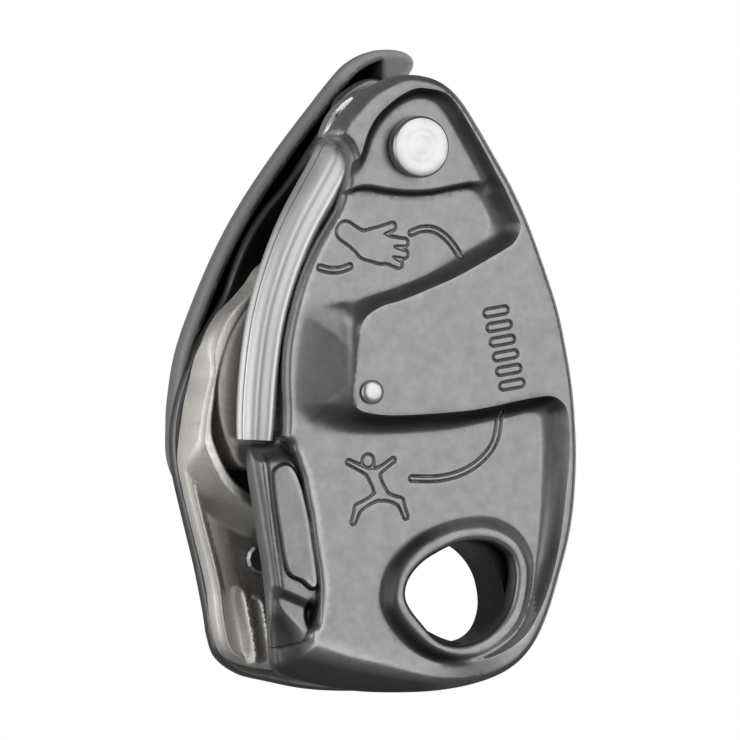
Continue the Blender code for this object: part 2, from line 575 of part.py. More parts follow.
def cam_axle():
    """Hollow axle fixed in the plate, with a collar in front of it and a groove at its back."""
    return finish(turned("cam_axle", [
        (0.0, AXLE_FRONT + 1.6), (AXLE_BORE, AXLE_FRONT + 1.6), (AXLE_BORE, AXLE_BACK),
        (AXLE_RADIUS, AXLE_BACK), (AXLE_RADIUS, HALF_GAP - CLEARANCE),
        (AXLE_COLLAR, HALF_GAP - CLEARANCE), (AXLE_COLLAR, 6.7), (AXLE_RADIUS, 6.7),
        (AXLE_RADIUS, AXLE_FRONT), (0.0, AXLE_FRONT)], CAM_AXIS, closed=False), SPRING_STEEL)


def cam_return_spring():
    made = coil("cam_return_spring", CAM_AXIS, CAM_SPRING_RADIUS, 3.9, 6.7, SPRING_TURNS)
    return finish(made, SPRING_STEEL)


# Handle, its pawl and the mode selector

def handle_shell():
    shell = flat_solid("handle_shell", HANDLE_OUTLINE, HANDLE_FRONT, HANDLE_BACK, edge=1.0)
    hollow = flat_solid("handle_hollow", HANDLE_OUTLINE, HANDLE_FRONT - 2,
                        HANDLE_BACK - HANDLE_WALL, grow=-HANDLE_WALL)
    tip = flat_solid("solid_tip", [(-2.2, 90.0), (-2.2, 70.0), (12.0, 70.0), (12.0, 90.0)],
                     HANDLE_FRONT - 3, HANDLE_BACK + 1, sharp=True, steps=1)
    cut(hollow, tip)
    cut(shell, hollow)
    join(shell, turned("hub", [
        (0.0, HANDLE_BACK - 1.0), (HUB_RADIUS, HANDLE_BACK - 1.0), (HUB_RADIUS, HUB_FRONT),
        (8.9, HUB_FRONT), (8.9, 15.6), (6.7, 15.6), (6.7, HUB_FRONT), (0.0, HUB_FRONT)],
        CAM_AXIS, 28, closed=False))
    counterbore(shell, CAM_AXIS, 8.8, 17.4, 6.0, 9.0, 24.0)
    for centre in CORE_RIVETS:
        drill(shell, centre, 1.1, 18.0, 21.2)
    return finish(shell, NYLON)


def handle_core():
    """Steel lever plate that stiffens the handle and carries the pawl."""
    outline = arc(CAM_AXIS, HUB_RADIUS + 1.0, 155, 25, 8) + HANDLE_CORE_ARM
    core = flat_solid("handle_core", outline, CORE_FRONT, CORE_BACK, edge=0.2)
    drill(core, PAWL_PIVOT, PAWL_PIN_RADIUS + CLEARANCE, 15.0, 22.0)
    for centre in CORE_RIVETS:
        drill(core, centre, 1.1, 15.0, 22.0)
    return finish(core, SPRING_STEEL)


def core_rivet(number, centre):
    return through_rivet(f"core_rivet_{number}", centre, 1.8, CORE_FRONT - CLEARANCE,
                         CORE_BACK + 1.4, 0.8)


def handle_bush():
    return finish(ring("handle_bush", CAM_AXIS, AXLE_RADIUS + CLEARANCE, 5.7,
                       HANDLE_FRONT - 0.4, 17.3), BRONZE)


def handle_retainer():
    return finish(ring("handle_retainer", CAM_AXIS, AXLE_RADIUS + CLEARANCE, 7.6, 17.7, 18.4),
                  SPRING_STEEL)


def handle_spring():
    return finish(coil("handle_spring", CAM_AXIS, 7.75, 12.2, 14.7, SPRING_TURNS), SPRING_STEEL)


def release_pawl():
    pawl = flat_solid("release_pawl", PAWL_OUTLINE, PAWL_FRONT, PAWL_BACK)
    drill(pawl, PAWL_PIVOT, PAWL_PIN_RADIUS + CLEARANCE, 10.0, 18.0)
    return finish(pawl, STAINLESS)


def pawl_pin():
    return finish(turned("pawl_pin", [
        (0.0, CORE_BACK - 0.1), (PAWL_PIN_RADIUS, CORE_BACK - 0.1), (PAWL_PIN_RADIUS, 12.3),
        (2.0, 12.3), (2.0, 11.8), (0.0, 11.8)],
        PAWL_PIVOT, 20, closed=False), STAINLESS)


def pawl_spring():
    """Small flat spring, folded round its root, that holds the pawl against its stop."""
    strip = [(-12.9, 50.6), (-12.4, 50.6), (-10.4, 49.0), (-9.6, 47.6), (-10.2, 47.2),
             (-11.0, 48.6), (-12.9, 50.0)]
    return finish(flat_solid("pawl_spring", strip, 13.4, 16.4, sharp=True, steps=1),
                  SPRING_STEEL)


def mode_selector():
    """Thumb knob for the two modes, with a grip bar, on a stem through the axle."""
    knob = turned("mode_selector", [
        (0.0, 21.0), (KNOB_RADIUS - 1, 21.0), (KNOB_RADIUS, 20.2), (KNOB_RADIUS, 19.0),
        (STEM_RADIUS, 19.0), (STEM_RADIUS, -3.6), (0.0, -3.6)], CAM_AXIS, 32, closed=False)
    x, z = CAM_AXIS
    bar = [(x - 1.5, z - 6.4), (x - 1.9, z), (x - 1.1, z + 7.0), (x + 1.1, z + 7.0),
           (x + 1.9, z), (x + 1.5, z - 6.4)]
    join(knob, flat_solid("grip_bar", bar, 20.5, 22.6, edge=0.3))
    return finish(knob, NYLON)


# Assembly: one empty on each joint's axis, with the body's pieces under it

def pivot_empty(name, centre):
    empty = link(bpy.data.objects.new(name, None))
    empty.location = (centre[0] * MM, 0.0, centre[1] * MM)
    empty.empty_display_size = 0.01
    return empty


def attach(parent, pieces):
    bpy.context.view_layer.update()
    for piece in pieces:
        piece.parent = parent
        piece.matrix_parent_inverse = parent.matrix_world.inverted()


def each(maker, centres):
    return [maker(number, centre) for number, centre in enumerate(centres, 1)]


def build():
    fixed_side_plate()
    wear_shell()
    each(shell_rivet, SHELL_RIVETS)
    friction_plate()
    each(friction_plate_rivet, FRICTION_RIVETS)
    main_pivot_pin()
    pivot_washer()
    pivot_spacer()
    cam_axle()
    cam_return_spring()
    handle_retainer()
    handle_spring()
    attach(pivot_empty("moving_plate_joint", PIVOT),
           [moving_side_plate(), wear_strip(), axle_catch(), catch_rivet()]
           + [strip_rivet(number, x, z) for number, (x, z) in enumerate(STRIP_RIVETS, 1)])
    attach(pivot_empty("cam_joint", CAM_AXIS), [cam(), cam_bush(), drive_pin()])
    handle_joint = pivot_empty("handle_joint", CAM_AXIS)
    attach(handle_joint, [handle_shell(), handle_core(), handle_bush(), pawl_pin(),
                          pawl_spring()] + each(core_rivet, CORE_RIVETS))
    pawl_joint = pivot_empty("pawl_joint", PAWL_PIVOT)
    attach(pawl_joint, [release_pawl()])
    attach(handle_joint, [pawl_joint])
    attach(pivot_empty("selector_joint", CAM_AXIS), [mode_selector()])


build()
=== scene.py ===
"""Looks of the belay device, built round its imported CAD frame.

Lengths in this file are millimetres in the row frame until MM turns them into metres.
Plates are meshed from two depth functions, one for each face, over a closed outline in X and Z.
"""

import json
import math

import bmesh
import bpy
import numpy as np
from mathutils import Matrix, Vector, kdtree
from mathutils.geometry import delaunay_2d_cdt


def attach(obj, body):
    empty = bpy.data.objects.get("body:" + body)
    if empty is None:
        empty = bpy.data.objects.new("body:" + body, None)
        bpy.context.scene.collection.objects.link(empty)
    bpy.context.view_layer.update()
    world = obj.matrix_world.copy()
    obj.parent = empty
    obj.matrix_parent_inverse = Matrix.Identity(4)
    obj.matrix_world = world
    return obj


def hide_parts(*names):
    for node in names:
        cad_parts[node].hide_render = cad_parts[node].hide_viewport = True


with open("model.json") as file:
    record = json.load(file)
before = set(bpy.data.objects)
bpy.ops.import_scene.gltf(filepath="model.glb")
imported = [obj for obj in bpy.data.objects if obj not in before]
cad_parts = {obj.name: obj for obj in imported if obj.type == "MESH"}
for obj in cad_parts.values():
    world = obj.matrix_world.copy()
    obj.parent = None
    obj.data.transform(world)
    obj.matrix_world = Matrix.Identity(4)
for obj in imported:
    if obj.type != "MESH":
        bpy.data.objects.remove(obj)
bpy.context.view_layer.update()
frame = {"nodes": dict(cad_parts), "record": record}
MM = 0.001

# Sizes that the CAD model sets
PLATEAU_Y = -13.0
INNER_Y = -8.0
POCKET_DEPTH = 3.0
FIXED_FRONT = 8.0
FIXED_BACK = 11.0
PIVOT = (-7.0, 70.0)
CAM_AXIS = (-15.5, 31.5)
PIVOT_BORE = 3.6
CAM_AXIS_BORE = 1.35
FRICTION_RIVETS = [(-11.7, 74.6), (-11.7, 65.4)]
FRICTION_RIVET_BORE = 1.3
SHELL_RIVETS = [(-26.3, 5.2), (-21.0, -6.5)]
SHELL_RIVET_BORE = 1.6
HOLE_CENTRE = (0.2, 0.3)
COLLAR_RADIUS = 12.4

# Small moves of the visible lines from the CAD model's
HOLE_SHIFT = (0.65, -0.25)
FLANGE_SHIFT = (-0.45, 0.0)
FLANGE_WALL = (-0.3, -0.12)

RIGHT_EDGE = [
    (-5.5, 81), (-2.4, 79.8), (0.4, 77.3), (3.3, 73.2), (6.2, 68.6), (9.3, 63.5), (12.2, 57.6),
    (15.2, 50), (17.1, 44.5), (18.4, 39), (19.5, 33), (20.1, 27), (20.3, 21), (19.9, 14),
    (19, 8.5), (17.6, 3.5), (15.5, -3), (13, -8), (9.5, -11.6), (4.5, -14), (-2, -15.4),
    (-10, -15.7), (-17, -15.3), (-23.5, -14.1)]
PLATE_OUTLINE = RIGHT_EDGE + [
    (-27.5, -13), (-29.2, -11.2), (-29.6, -7), (-29.8, -3), (-30.4, 3), (-31.4, 9), (-32.4, 15),
    (-33.2, 20.5), (-32.6, 23.2), (-29.4, 23.8), (-28.8, 28), (-29, 34), (-28.5, 40),
    (-26.5, 47.8), (-24, 53.6), (-21.6, 57.6), (-20, 60.2), (-19.2, 62.6), (-18.6, 65),
    (-18.3, 67.8), (-19.2, 70.2), (-20.8, 72.4), (-17.2, 76.8), (-14, 79.3), (-9.5, 81.2)]
HOLE_OUTLINE = [
    (-9.5, 0), (-8.8, 2.5), (-6.5, 5), (-3, 7), (0, 8.1), (3, 8.4), (6, 7.9), (8.5, 6.2),
    (9.4, 3.5), (9.2, 0.5), (8.3, -2.5), (6.5, -5), (4, -6.9), (1, -7.9), (-2, -7.8), (-4.5, -6.7),
    (-7, -4.2), (-8.8, -2)]

# Front plate relief: the line where each level's wall starts, and the line where it ends
LOW_CREST = [
    (-21, 63.4), (-16, 64.6), (-12, 64.2), (-8, 63.8), (-4, 64), (0, 64.8), (4, 65.6), (6.3, 65.4),
    (9.5, 59.5), (10.2, 57.4), (9.2, 55.2), (7.4, 53.9), (0, 50), (-5, 47.9), (-10, 46),
    (-13.5, 45), (-16.2, 43.4), (-17.4, 41), (-18, 35), (-18.5, 30.6), (-17.7, 28.9), (-15, 28.1),
    (-10, 27.9), (0, 28.5), (5, 29.2), (10, 30.2), (15, 30.9), (17.2, 30.1), (18.4, 28),
    (18.7, 22), (18, 15), (17, 8), (15.5, 2), (13.5, -3), (10.5, -7.3), (5, -10.3), (-3, -11.3),
    (-10, -11), (-18, -9.9), (-24, -7.4), (-30, -4), (-45, 0), (-45, 30), (-36, 58), (-24, 65)]
LOW_BASE = [
    (-21.4, 61.8), (-16, 62.9), (-12, 62.4), (-8, 62.1), (-4, 62.3), (0, 63), (2.8, 63.1),
    (4.2, 61.2), (5.5, 58.6), (4.9, 56.4), (0, 53.5), (-5, 50.4), (-10, 48.5), (-15, 47),
    (-20, 46), (-22.6, 45.5), (-25.2, 44), (-26.2, 41.5), (-27, 37), (-27.4, 31), (-26.9, 27.3),
    (-25.6, 25.6), (-23, 25), (-15, 24.6), (-5, 25), (0, 25.5), (5, 26.5), (10, 27.4), (12.8, 28),
    (14.3, 26.6), (14.5, 15), (13.8, 5), (12, -2), (9.6, -5.6), (5, -7.6), (-3, -8.6), (-10, -8.2),
    (-18, -7), (-23, -4.4), (-30, -1), (-44, 2), (-44, 30), (-35, 57), (-24, 63.6)]
TRIANGLE_CREST = [
    (-22, 62.4), (-19.2, 66.4), (-17.4, 68.6), (-16.8, 70.2), (-16, 72.4), (-14.4, 74.9),
    (-11.5, 77.4), (-8.5, 79), (-6, 79.2), (-2, 78), (2, 72.6), (6, 66), (7.4, 62.5), (3, 60),
    (-8, 59), (-19, 59.4)]
TRIANGLE_BASE = [
    (-20.4, 61.6), (-17.8, 64.8), (-16, 66.6), (-14.9, 68.8), (-14.1, 70.9), (-12.4, 73.7),
    (-9.8, 76.2), (-7.2, 77.3), (-5.2, 77.4), (-3, 76), (0.2, 71.2), (3.4, 65.4), (4.6, 62),
    (2, 60.4), (-8, 59.6), (-18, 60.2)]
RING_CREST = [
    (-11.8, 0), (-10.6, 3.8), (-7.4, 7.2), (-3.4, 9.4), (1, 10.6), (5.6, 10.6), (9.6, 8.6),
    (11.7, 4.8), (11.6, 0), (10.2, -4.4), (7.2, -7.8), (3.4, -9.8), (-1, -10.2), (-5.2, -8.8),
    (-8.6, -6), (-11.2, -2.8)]
RING_BASE = [
    (-14.3, 0.4), (-12.8, 5.2), (-9, 9.2), (-4.2, 11.6), (1, 12.9), (6.6, 12.8), (11.4, 10.2),
    (13.8, 5.4), (13.4, -0.6), (11.8, -5.6), (8.2, -9.2), (3.8, -11.4), (-1.4, -11.8),
    (-6.4, -10.4), (-10.6, -7.4), (-13.6, -3.4)]
FLANGE_CREST = [
    (-28.6, 24.6), (-26.6, 22), (-25.8, 20), (-25.1, 18), (-24.5, 15), (-23.8, 12), (-23.4, 9),
    (-22.9, 6), (-22.4, 3), (-22.2, 0), (-22.5, -3), (-23.6, -6), (-26.4, -8), (-40, -8.6),
    (-42, 10), (-40, 27)]
FLANGE_BASE = [(x + FLANGE_WALL[0], z + FLANGE_WALL[1]) for x, z in FLANGE_CREST]
PAD_CREST = [
    (-29.9, 19.2), (-30.1, 17.4), (-29.5, 12.5), (-28.8, 8.5), (-28, 4.4), (-27.2, 3),
    (-25.4, 2.2), (-23.8, 1), (-23.2, 1.7), (-23.5, 5), (-24.3, 10), (-25.2, 14), (-26, 16.8),
    (-27, 19), (-28.2, 19.9)]
RIDGE_LINE = [(-31.9, 20.4), (-31.3, 15), (-30.6, 9), (-29.8, 3.5), (-29.3, 0)]

# Painted light and shade on the right-hand walls: how light each is painted, from its crest to its
# foot
RIGHT_WALL_SHARES = [0, 0.2, 0.45, 0.7, 0.88, 1]
RIGHT_WALL_PAINTED_SHADING = [0.9, 0.42, 0.45, 1.4, 1.3, 1]

# Generic engraved figures, made of bars with two ends and a radius
PERSON_LIMBS = [
    ((-13.85, 18.5), (-12.45, 15.5), 0.9), ((-14.75, 20.8), (-14.75, 20.7), 0.95),
    ((-14.45, 18.8), (-18.05, 20.5), 0.4), ((-13.45, 18.7), (-10.45, 20.8), 0.4),
    ((-12.85, 15.3), (-16.45, 13.3), 0.5), ((-16.45, 13.3), (-17.25, 11.1), 0.4),
    ((-12.25, 15.3), (-9.25, 14.3), 0.5), ((-9.25, 14.3), (-8.25, 11.9), 0.4)]
HAND_LIMBS = [
    ((-18.6, 56.7), (-15.4, 54.6), 1.6), ((-14.6, 54.5), (-12.6, 54), 2.3),
    ((-14, 56.4), (-10.6, 57.5), 0.62), ((-12, 55.3), (-8.5, 55), 0.62),
    ((-12, 53.9), (-8.5, 53.1), 0.62), ((-12.4, 52.8), (-9.5, 51.5), 0.6)]
TICKS = [((7.2 - 0.55 * n, 32.4 + 2.3 * n), (10.2 - 0.55 * n, 32.9 + 2.3 * n), 0.62)
         for n in range(6)]
STRANDS = [
    [(-23, 51), (-21.2, 50.6), (-19.4, 50.7), (-17.9, 51.2)],
    [(-7.3, 56.5), (-5.4, 57.1), (-3.4, 57), (-1.6, 56), (-0.2, 54.6), (1, 53)],
    [(-7.2, 17.9), (-2.6, 17.9), (1.6, 18.9), (5, 21), (7.2, 24), (7.9, 28.2)]]
STRAND_HALF_WIDTH = 0.42
GROOVE_HALF_WIDTH = 0.15
GROOVE_DEPTH = 0.24
JOINT_SOFTNESS = 0.5


# Outlines and distances, all in millimetres

def smooth(points, steps=8, closed=True):
    """Points on a Catmull-Rom curve through the given ones."""
    knots = np.array(points, float)
    count = len(knots)
    made = []
    for index in range(count if closed else count - 1):
        if closed:
            a, b, c, d = (knots[(index + shift) % count] for shift in (-1, 0, 1, 2))
        else:
            a, b, c, d = (knots[min(max(index + shift, 0), count - 1)]
                          for shift in (-1, 0, 1, 2))
        for step in range(steps):
            t = step / steps
            made.append(0.5 * (2 * b + (c - a) * t + (2 * a - 5 * b + 4 * c - d) * t * t
                               + (3 * b - a - 3 * c + d) * t ** 3))
    if not closed:
        made.append(knots[-1])
    return np.array(made)


def even(line, spacing, closed=True):
    """The same line with points at equal distances."""
    path = np.vstack([line, line[:1]]) if closed else line
    lengths = np.r_[0, np.cumsum(np.linalg.norm(np.diff(path, axis=0), axis=1))]
    count = max(3, int(round(lengths[-1] / spacing)))
    where = np.linspace(0, lengths[-1], count + 1)
    made = np.stack([np.interp(where, lengths, path[:, axis]) for axis in (0, 1)], axis=1)
    return made[:-1] if closed else made


def circle(centre, radius, count=64):
    angles = np.arange(count) * 2 * math.pi / count
    return np.stack([centre[0] + radius * np.cos(angles), centre[1] + radius * np.sin(angles)],
                    axis=1)


def distance(points, line, closed=True):
    """How far each point is from a line of straight stretches."""
    best = np.full(len(points), 1e18)
    ends = np.roll(line, -1, axis=0) if closed else line[1:]
    for start, end in zip(line, ends):
        along = end - start
        size = max(along @ along, 1e-12)
        share = np.clip((points - start) @ along / size, 0, 1)
        offset = points - start - share[:, None] * along
        best = np.minimum(best, (offset * offset).sum(axis=1))
    return np.sqrt(best)


def inside(points, loop):
    """True where a point lies inside a closed loop."""
    result = np.zeros(len(points), bool)
    x, z = points.T
    for (x0, z0), (x1, z1) in zip(loop, np.roll(loop, -1, axis=0)):
        if z0 == z1:
            continue
        crossing = (z0 > z) != (z1 > z)
        result ^= crossing & (x < (x1 - x0) * (z - z0) / (z1 - z0) + x0)
    return result


def reach(points, centre):
    """How far each point is from one centre."""
    return np.linalg.norm(points - np.array(centre), axis=1)


def everywhere(points):
    return np.ones(len(points), bool)


def ease(value):
    value = np.clip(value, 0, 1)
    return value * value * (3 - 2 * value)


def roundover(gap, radius):
    """How far a rounded edge of that radius falls, at a gap from the edge."""
    inner = np.clip(radius - gap, 0, radius)
    return radius - np.sqrt(np.maximum(radius ** 2 - inner ** 2, 0))


def limbs_gap(points, limbs):
    """Distance from a figure made of round-ended bars: negative inside it."""
    gaps = np.stack([distance(points, np.array([start, end]), closed=False) - radius
                     for start, end, radius in limbs])
    nearest = gaps.min(axis=0)
    blend = np.log(np.exp((nearest - gaps) / JOINT_SOFTNESS).sum(axis=0))
    return nearest - JOINT_SOFTNESS * blend * 0.5


# Meshes

def add_mesh(name, shapes, sharp_angle=32):
    """A smooth piece made of one or more shapes, each its points, its faces and its painted light
    and shade, which is kept on the mesh as a point attribute.
    """
    verts = []
    faces = []
    shades = []
    for points, sides, shade in shapes:
        faces += [tuple(int(n) + len(verts) for n in side) for side in sides]
        verts += [tuple(co) for co in np.asarray(points) * MM]
        shades.append(np.ones(len(points)) if shade is None else shade)
    mesh = bpy.data.meshes.new(name)
    mesh.from_pydata(verts, [], faces)
    painted_shading = mesh.attributes.new("painted_shading", "FLOAT", "POINT")
    painted_shading.data.foreach_set("value", np.concatenate(shades).astype(np.float32))
    work = bmesh.new()
    work.from_mesh(mesh)
    bmesh.ops.recalc_face_normals(work, faces=work.faces)
    work.to_mesh(mesh)
    work.free()
    mesh.validate()
    mesh.update()
    piece = bpy.data.objects.new(name, mesh)
    bpy.context.scene.collection.objects.link(piece)
    mesh.shade_smooth()
    mesh.set_sharp_from_angle(angle=math.radians(sharp_angle))
    return piece


def hex_points(low, high, spacing):
    columns = np.arange(low[0], high[0], spacing)
    rows = np.arange(low[1], high[1], spacing * 0.866)
    grid = [(x + (spacing / 2 if index % 2 else 0), z)
            for index, z in enumerate(rows) for x in columns]
    return np.array(grid)


def keep_apart(points, taken, gap):
    """The points that are further than gap from every taken one."""
    tree = kdtree.KDTree(len(taken))
    for index, (x, z) in enumerate(taken):
        tree.insert((x, z, 0), index)
    tree.balance()
    far = [tree.find((x, z, 0))[2] > gap for x, z in points]
    return points[np.array(far, bool)] if len(points) else points


def plate(outline, holes, front, back, lines=(), open_lines=(), coarse=0.7, detail=None,
          detail_gap=0.13, walls=None, wall_gap=0.32, edge_gap=0.35, painted_shading=None,
          back_painted_shading=None):
    """The shape of a plate between two depth functions. Its mesh follows the loops and the open
    lines given, and is finer where detail and walls say so. Painted light and shade, when given,
    is set on its front and on its back."""
    loops = [even(outline, edge_gap)] + [even(hole, edge_gap) for hole in holes]
    guides = [(loop, True) for loop in loops]
    guides += [(even(line, edge_gap), True) for line in lines]
    guides += [(even(line, edge_gap, closed=False), False) for line in open_lines]
    verts = []
    edges = []
    for line, closed in guides:
        first = len(verts)
        verts.extend(line)
        count = len(line)
        last = count if closed else count - 1
        edges += [(first + n, first + (n + 1) % count) for n in range(last)]
    low = outline.min(axis=0)
    high = outline.max(axis=0)
    verts = np.array(verts)
    rims = []
    for loop in loops:
        normal = np.roll(loop, -1, axis=0) - np.roll(loop, 1, axis=0)
        normal = np.stack([-normal[:, 1], normal[:, 0]], axis=1)
        normal /= np.linalg.norm(normal, axis=1)[:, None] + 1e-9
        for step in (0.12, 0.3, 0.55, 0.85):
            rims.append(loop + normal * step)
            rims.append(loop - normal * step)
    rims = np.vstack(rims)
    sets = [keep_apart(rims, verts, 0.09)]
    for where, spacing in ((detail, detail_gap), (walls, wall_gap), (None, coarse)):
        if where is None and spacing != coarse:
            continue
        grid = hex_points(low, high, spacing)
        if where is not None:
            grid = grid[where(grid)]
        taken = np.vstack([verts] + sets)
        sets.append(keep_apart(grid, taken, spacing * 0.62))
    verts = np.vstack([verts] + sets)
    solid = inside(verts, loops[0])
    for loop in loops[1:]:
        solid &= ~inside(verts, loop)
    solid[:len(verts) - sum(len(part) for part in sets)] = True
    order = np.cumsum(solid) - 1
    edges = [(int(order[a]), int(order[b])) for a, b in edges]
    verts = verts[solid]
    flat, _, faces, *_ = delaunay_2d_cdt([Vector(co) for co in verts], edges, [], 0, 1e-4)
    flat = np.array([tuple(co) for co in flat])
    faces = np.array([tuple(face) for face in faces])
    centres = flat[faces].mean(axis=1)
    wanted = inside(centres, loops[0])
    for loop in loops[1:]:
        wanted &= ~inside(centres, loop)
    faces = faces[wanted]
    a, b, c = flat[faces[:, 0]], flat[faces[:, 1]], flat[faces[:, 2]]
    area = (b - a)[:, 0] * (c - a)[:, 1] - (b - a)[:, 1] * (c - a)[:, 0]
    faces = faces[np.abs(area) > 1e-9]
    area = area[np.abs(area) > 1e-9]
    faces[area < 0] = faces[area < 0][:, ::-1]
    used = np.unique(faces)
    place = np.full(len(flat), -1)
    place[used] = np.arange(len(used))
    flat = flat[used]
    faces = place[faces]
    count = len(flat)
    front_y = front(flat)
    back_y = np.maximum(back(flat), front_y + 0.2)
    everything = np.vstack([np.stack([flat[:, 0], front_y, flat[:, 1]], axis=1),
                            np.stack([flat[:, 0], back_y, flat[:, 1]], axis=1)])
    half = {}
    for a, b, c in faces.tolist():
        half.update({(a, b): True, (b, c): True, (c, a): True})
    sides = [(end, start, start + count, end + count) for start, end in half
             if (end, start) not in half]
    sheets = faces.tolist() + (faces[:, ::-1] + count).tolist()
    shade = np.ones(2 * count)
    if painted_shading is not None:
        shade[:count] = painted_shading(flat)
    if back_painted_shading is not None:
        shade[count:] = back_painted_shading(flat)
    return everything, sheets + sides, shade


def joined_rings(rings):
    """The closed shape of a stack of rings that have the same number of points."""
    count = len(rings[0])
    faces = []
    for first in range(0, count * (len(rings) - 1), count):
        for n in range(count):
            m = (n + 1) % count
            faces.append((first + n, first + m, first + count + m, first + count + n))
    faces.append(tuple(range(count))[::-1])
    faces.append(tuple((len(rings) - 1) * count + n for n in range(count)))
    return np.vstack(rings), faces, None


def turned(profile, centre, sides=96):
    """The shape of a round piece on an axis along Y, from its (radius, y) profile."""
    rings = []
    for radius, y in profile:
        x, z = circle(centre, radius, sides).T
        rings.append(np.stack([x, np.full(sides, y), z], axis=1))
    return joined_rings(rings)


def swept(path, y, profile, scales):
    """The shape of a bar along a path in X and Z. Its profile is (across, depth) points."""
    tangent = np.gradient(path, axis=0)
    tangent /= np.linalg.norm(tangent, axis=1)[:, None]
    across = np.stack([tangent[:, 1], -tangent[:, 0]], axis=1)
    rings = []
    for place, side, scale in zip(path, across, scales):
        flat = place + side * profile[:, :1] * scale
        rings.append(np.stack([flat[:, 0], y + profile[:, 1] * scale, flat[:, 1]], axis=1))
    return joined_rings(rings)


def arc(centre, radius, start, end, count=48):
    """Points on a circle, at angles in degrees from +X towards +Z."""
    angles = np.radians(np.linspace(start, end, count + 1))
    return np.stack([centre[0] + radius * np.cos(angles), centre[1] + radius * np.sin(angles)],
                    axis=1)


def shrunk(loop, gap):
    """The loop moved inwards by a gap, without the points that come too near its edge."""
    line = even(loop, 0.5)
    along = np.roll(line, -1, axis=0) - np.roll(line, 1, axis=0)
    along /= np.linalg.norm(along, axis=1)[:, None]
    area = (line[:, 0] * np.roll(line[:, 1], -1) - np.roll(line[:, 0], -1) * line[:, 1]).sum()
    inwards = np.stack([-along[:, 1], along[:, 0]], axis=1) * (1 if area > 0 else -1)
    moved = line + inwards * gap
    return moved[distance(moved, line) > gap - 0.05]


def stretches(line, outline, gap):
    """The parts of a closed line that run inside the outline, at least a gap from its edge."""
    keep = inside(line, outline) & (distance(line, outline) > gap)
    if keep.all():
        return [np.vstack([line, line[:1]])]
    start = int(np.argmin(keep))
    line = np.roll(line, -start, axis=0)
    keep = np.roll(keep, -start)
    found = []
    run = []
    for point, kept in zip(line, keep):
        if kept:
            run.append(point)
        elif run:
            found.append(run)
            run = []
    if run:
        found.append(run)
    return [np.array(run) for run in found if len(run) > 3]


# Front plate

def towards(line, centre, factor):
    return np.array(centre) + (line - np.array(centre)) * factor


LINES = {key: smooth(line) for key, line in {
    "outline": PLATE_OUTLINE, "hole": HOLE_OUTLINE, "low_crest": LOW_CREST,
    "low_base": LOW_BASE, "triangle_crest": TRIANGLE_CREST, "triangle_base": TRIANGLE_BASE,
    "ring_crest": RING_CREST, "ring_base": RING_BASE, "flange_crest": FLANGE_CREST,
    "flange_base": FLANGE_BASE, "pad_crest": PAD_CREST}.items()}
for flange_key in ("flange_crest", "flange_base"):
    LINES[flange_key] = LINES[flange_key] + FLANGE_SHIFT
LINES["hole"] = LINES["hole"] + HOLE_SHIFT
LINES["ring_crest"] = towards(LINES["ring_crest"], HOLE_CENTRE, 0.915) + HOLE_SHIFT
LINES["ring_base"] = towards(LINES["ring_base"], HOLE_CENTRE, 0.965) + HOLE_SHIFT
STRAND_CURVES = [smooth(strand, 6, closed=False) for strand in STRANDS]


def groove_gap(points):
    """Distance from the nearest engraved line."""
    best = np.full(len(points), 9.0)
    for limbs in (PERSON_LIMBS, HAND_LIMBS):
        near = inside_box(points, [co for start, end, _ in limbs for co in (start, end)], 4.0)
        best[near] = np.minimum(best[near], np.abs(limbs_gap(points[near], limbs)))
    for start, end, radius in TICKS:
        near = inside_box(points, [start, end], 2.0)
        gap = limbs_gap(points[near], [(start, end, radius)])
        best[near] = np.minimum(best[near], np.abs(gap))
    for strand in STRAND_CURVES:
        near = inside_box(points, strand, 2.0)
        gap = distance(points[near], strand, closed=False)
        best[near] = np.minimum(best[near], np.abs(gap - STRAND_HALF_WIDTH))
    return best


def between(points, crest, base):
    """0 outside the line named crest, 1 inside the one named base, rising evenly between."""
    outer = distance(points, LINES[crest])
    share = outer / (outer + distance(points, LINES[base]) + 1e-9)
    share = np.where(inside(points, LINES[base]), 1.0, share)
    return np.where(inside(points, LINES[crest]), share, 0.0)


def inside_box(points, corners, margin):
    corners = np.array(corners)
    return ((points > corners.min(axis=0) - margin)
            & (points < corners.max(axis=0) + margin)).all(axis=1)


def low_share(points):
    """How deep the low level is, with a plain slope at the plateau's left."""
    x, z = points.T
    share = between(points, "low_crest", "low_base")
    left = ease((-17.0 - x) / 2.5) * ease((z - 26.0) / 4.0) * ease((47.5 - z) / 3.0)
    power = 1.9 - 0.8 * left
    return 1 - (1 - share) ** power


def corner_width(points):
    """Width of the soft outer slope, which is wide at the bottom left and narrow elsewhere."""
    x, z = points.T
    return 1.0 + 5.0 * ease((6.0 - x) / 28.0) * ease((-1.0 - z) / 7.0)


def open_share(points):
    """1 along the bottom left, where the low level runs out to the rim, and 0 elsewhere."""
    x, z = points.T
    return ease((10.0 - x) / 14.0) * ease((-3.0 - z) / 4.0)


def soft_deeper(first, second, size=0.5):
    """The deeper of two depths, blended where they meet below the plateau."""
    near = np.clip(1 - np.abs(first - second) / size, 0, 1)
    return np.maximum(first, second) + near ** 2 * size / 4 * ease(np.minimum(first, second) / 0.5)


def flange_gap(points):
    """Distance from the flange's crest: positive on the face's side, negative on the flange."""
    gap = distance(points, LINES["flange_crest"])
    return np.where(inside(points, LINES["flange_crest"]), -gap, gap)


def side_pocket(points):
    """1 in the middle of the small oval pocket in the flange's wall, 0 outside it."""
    x, z = points[:, 0] + 23.6, points[:, 1] + 3.4
    return ease(1.3 - np.hypot(x / 0.9, z / 2.3))


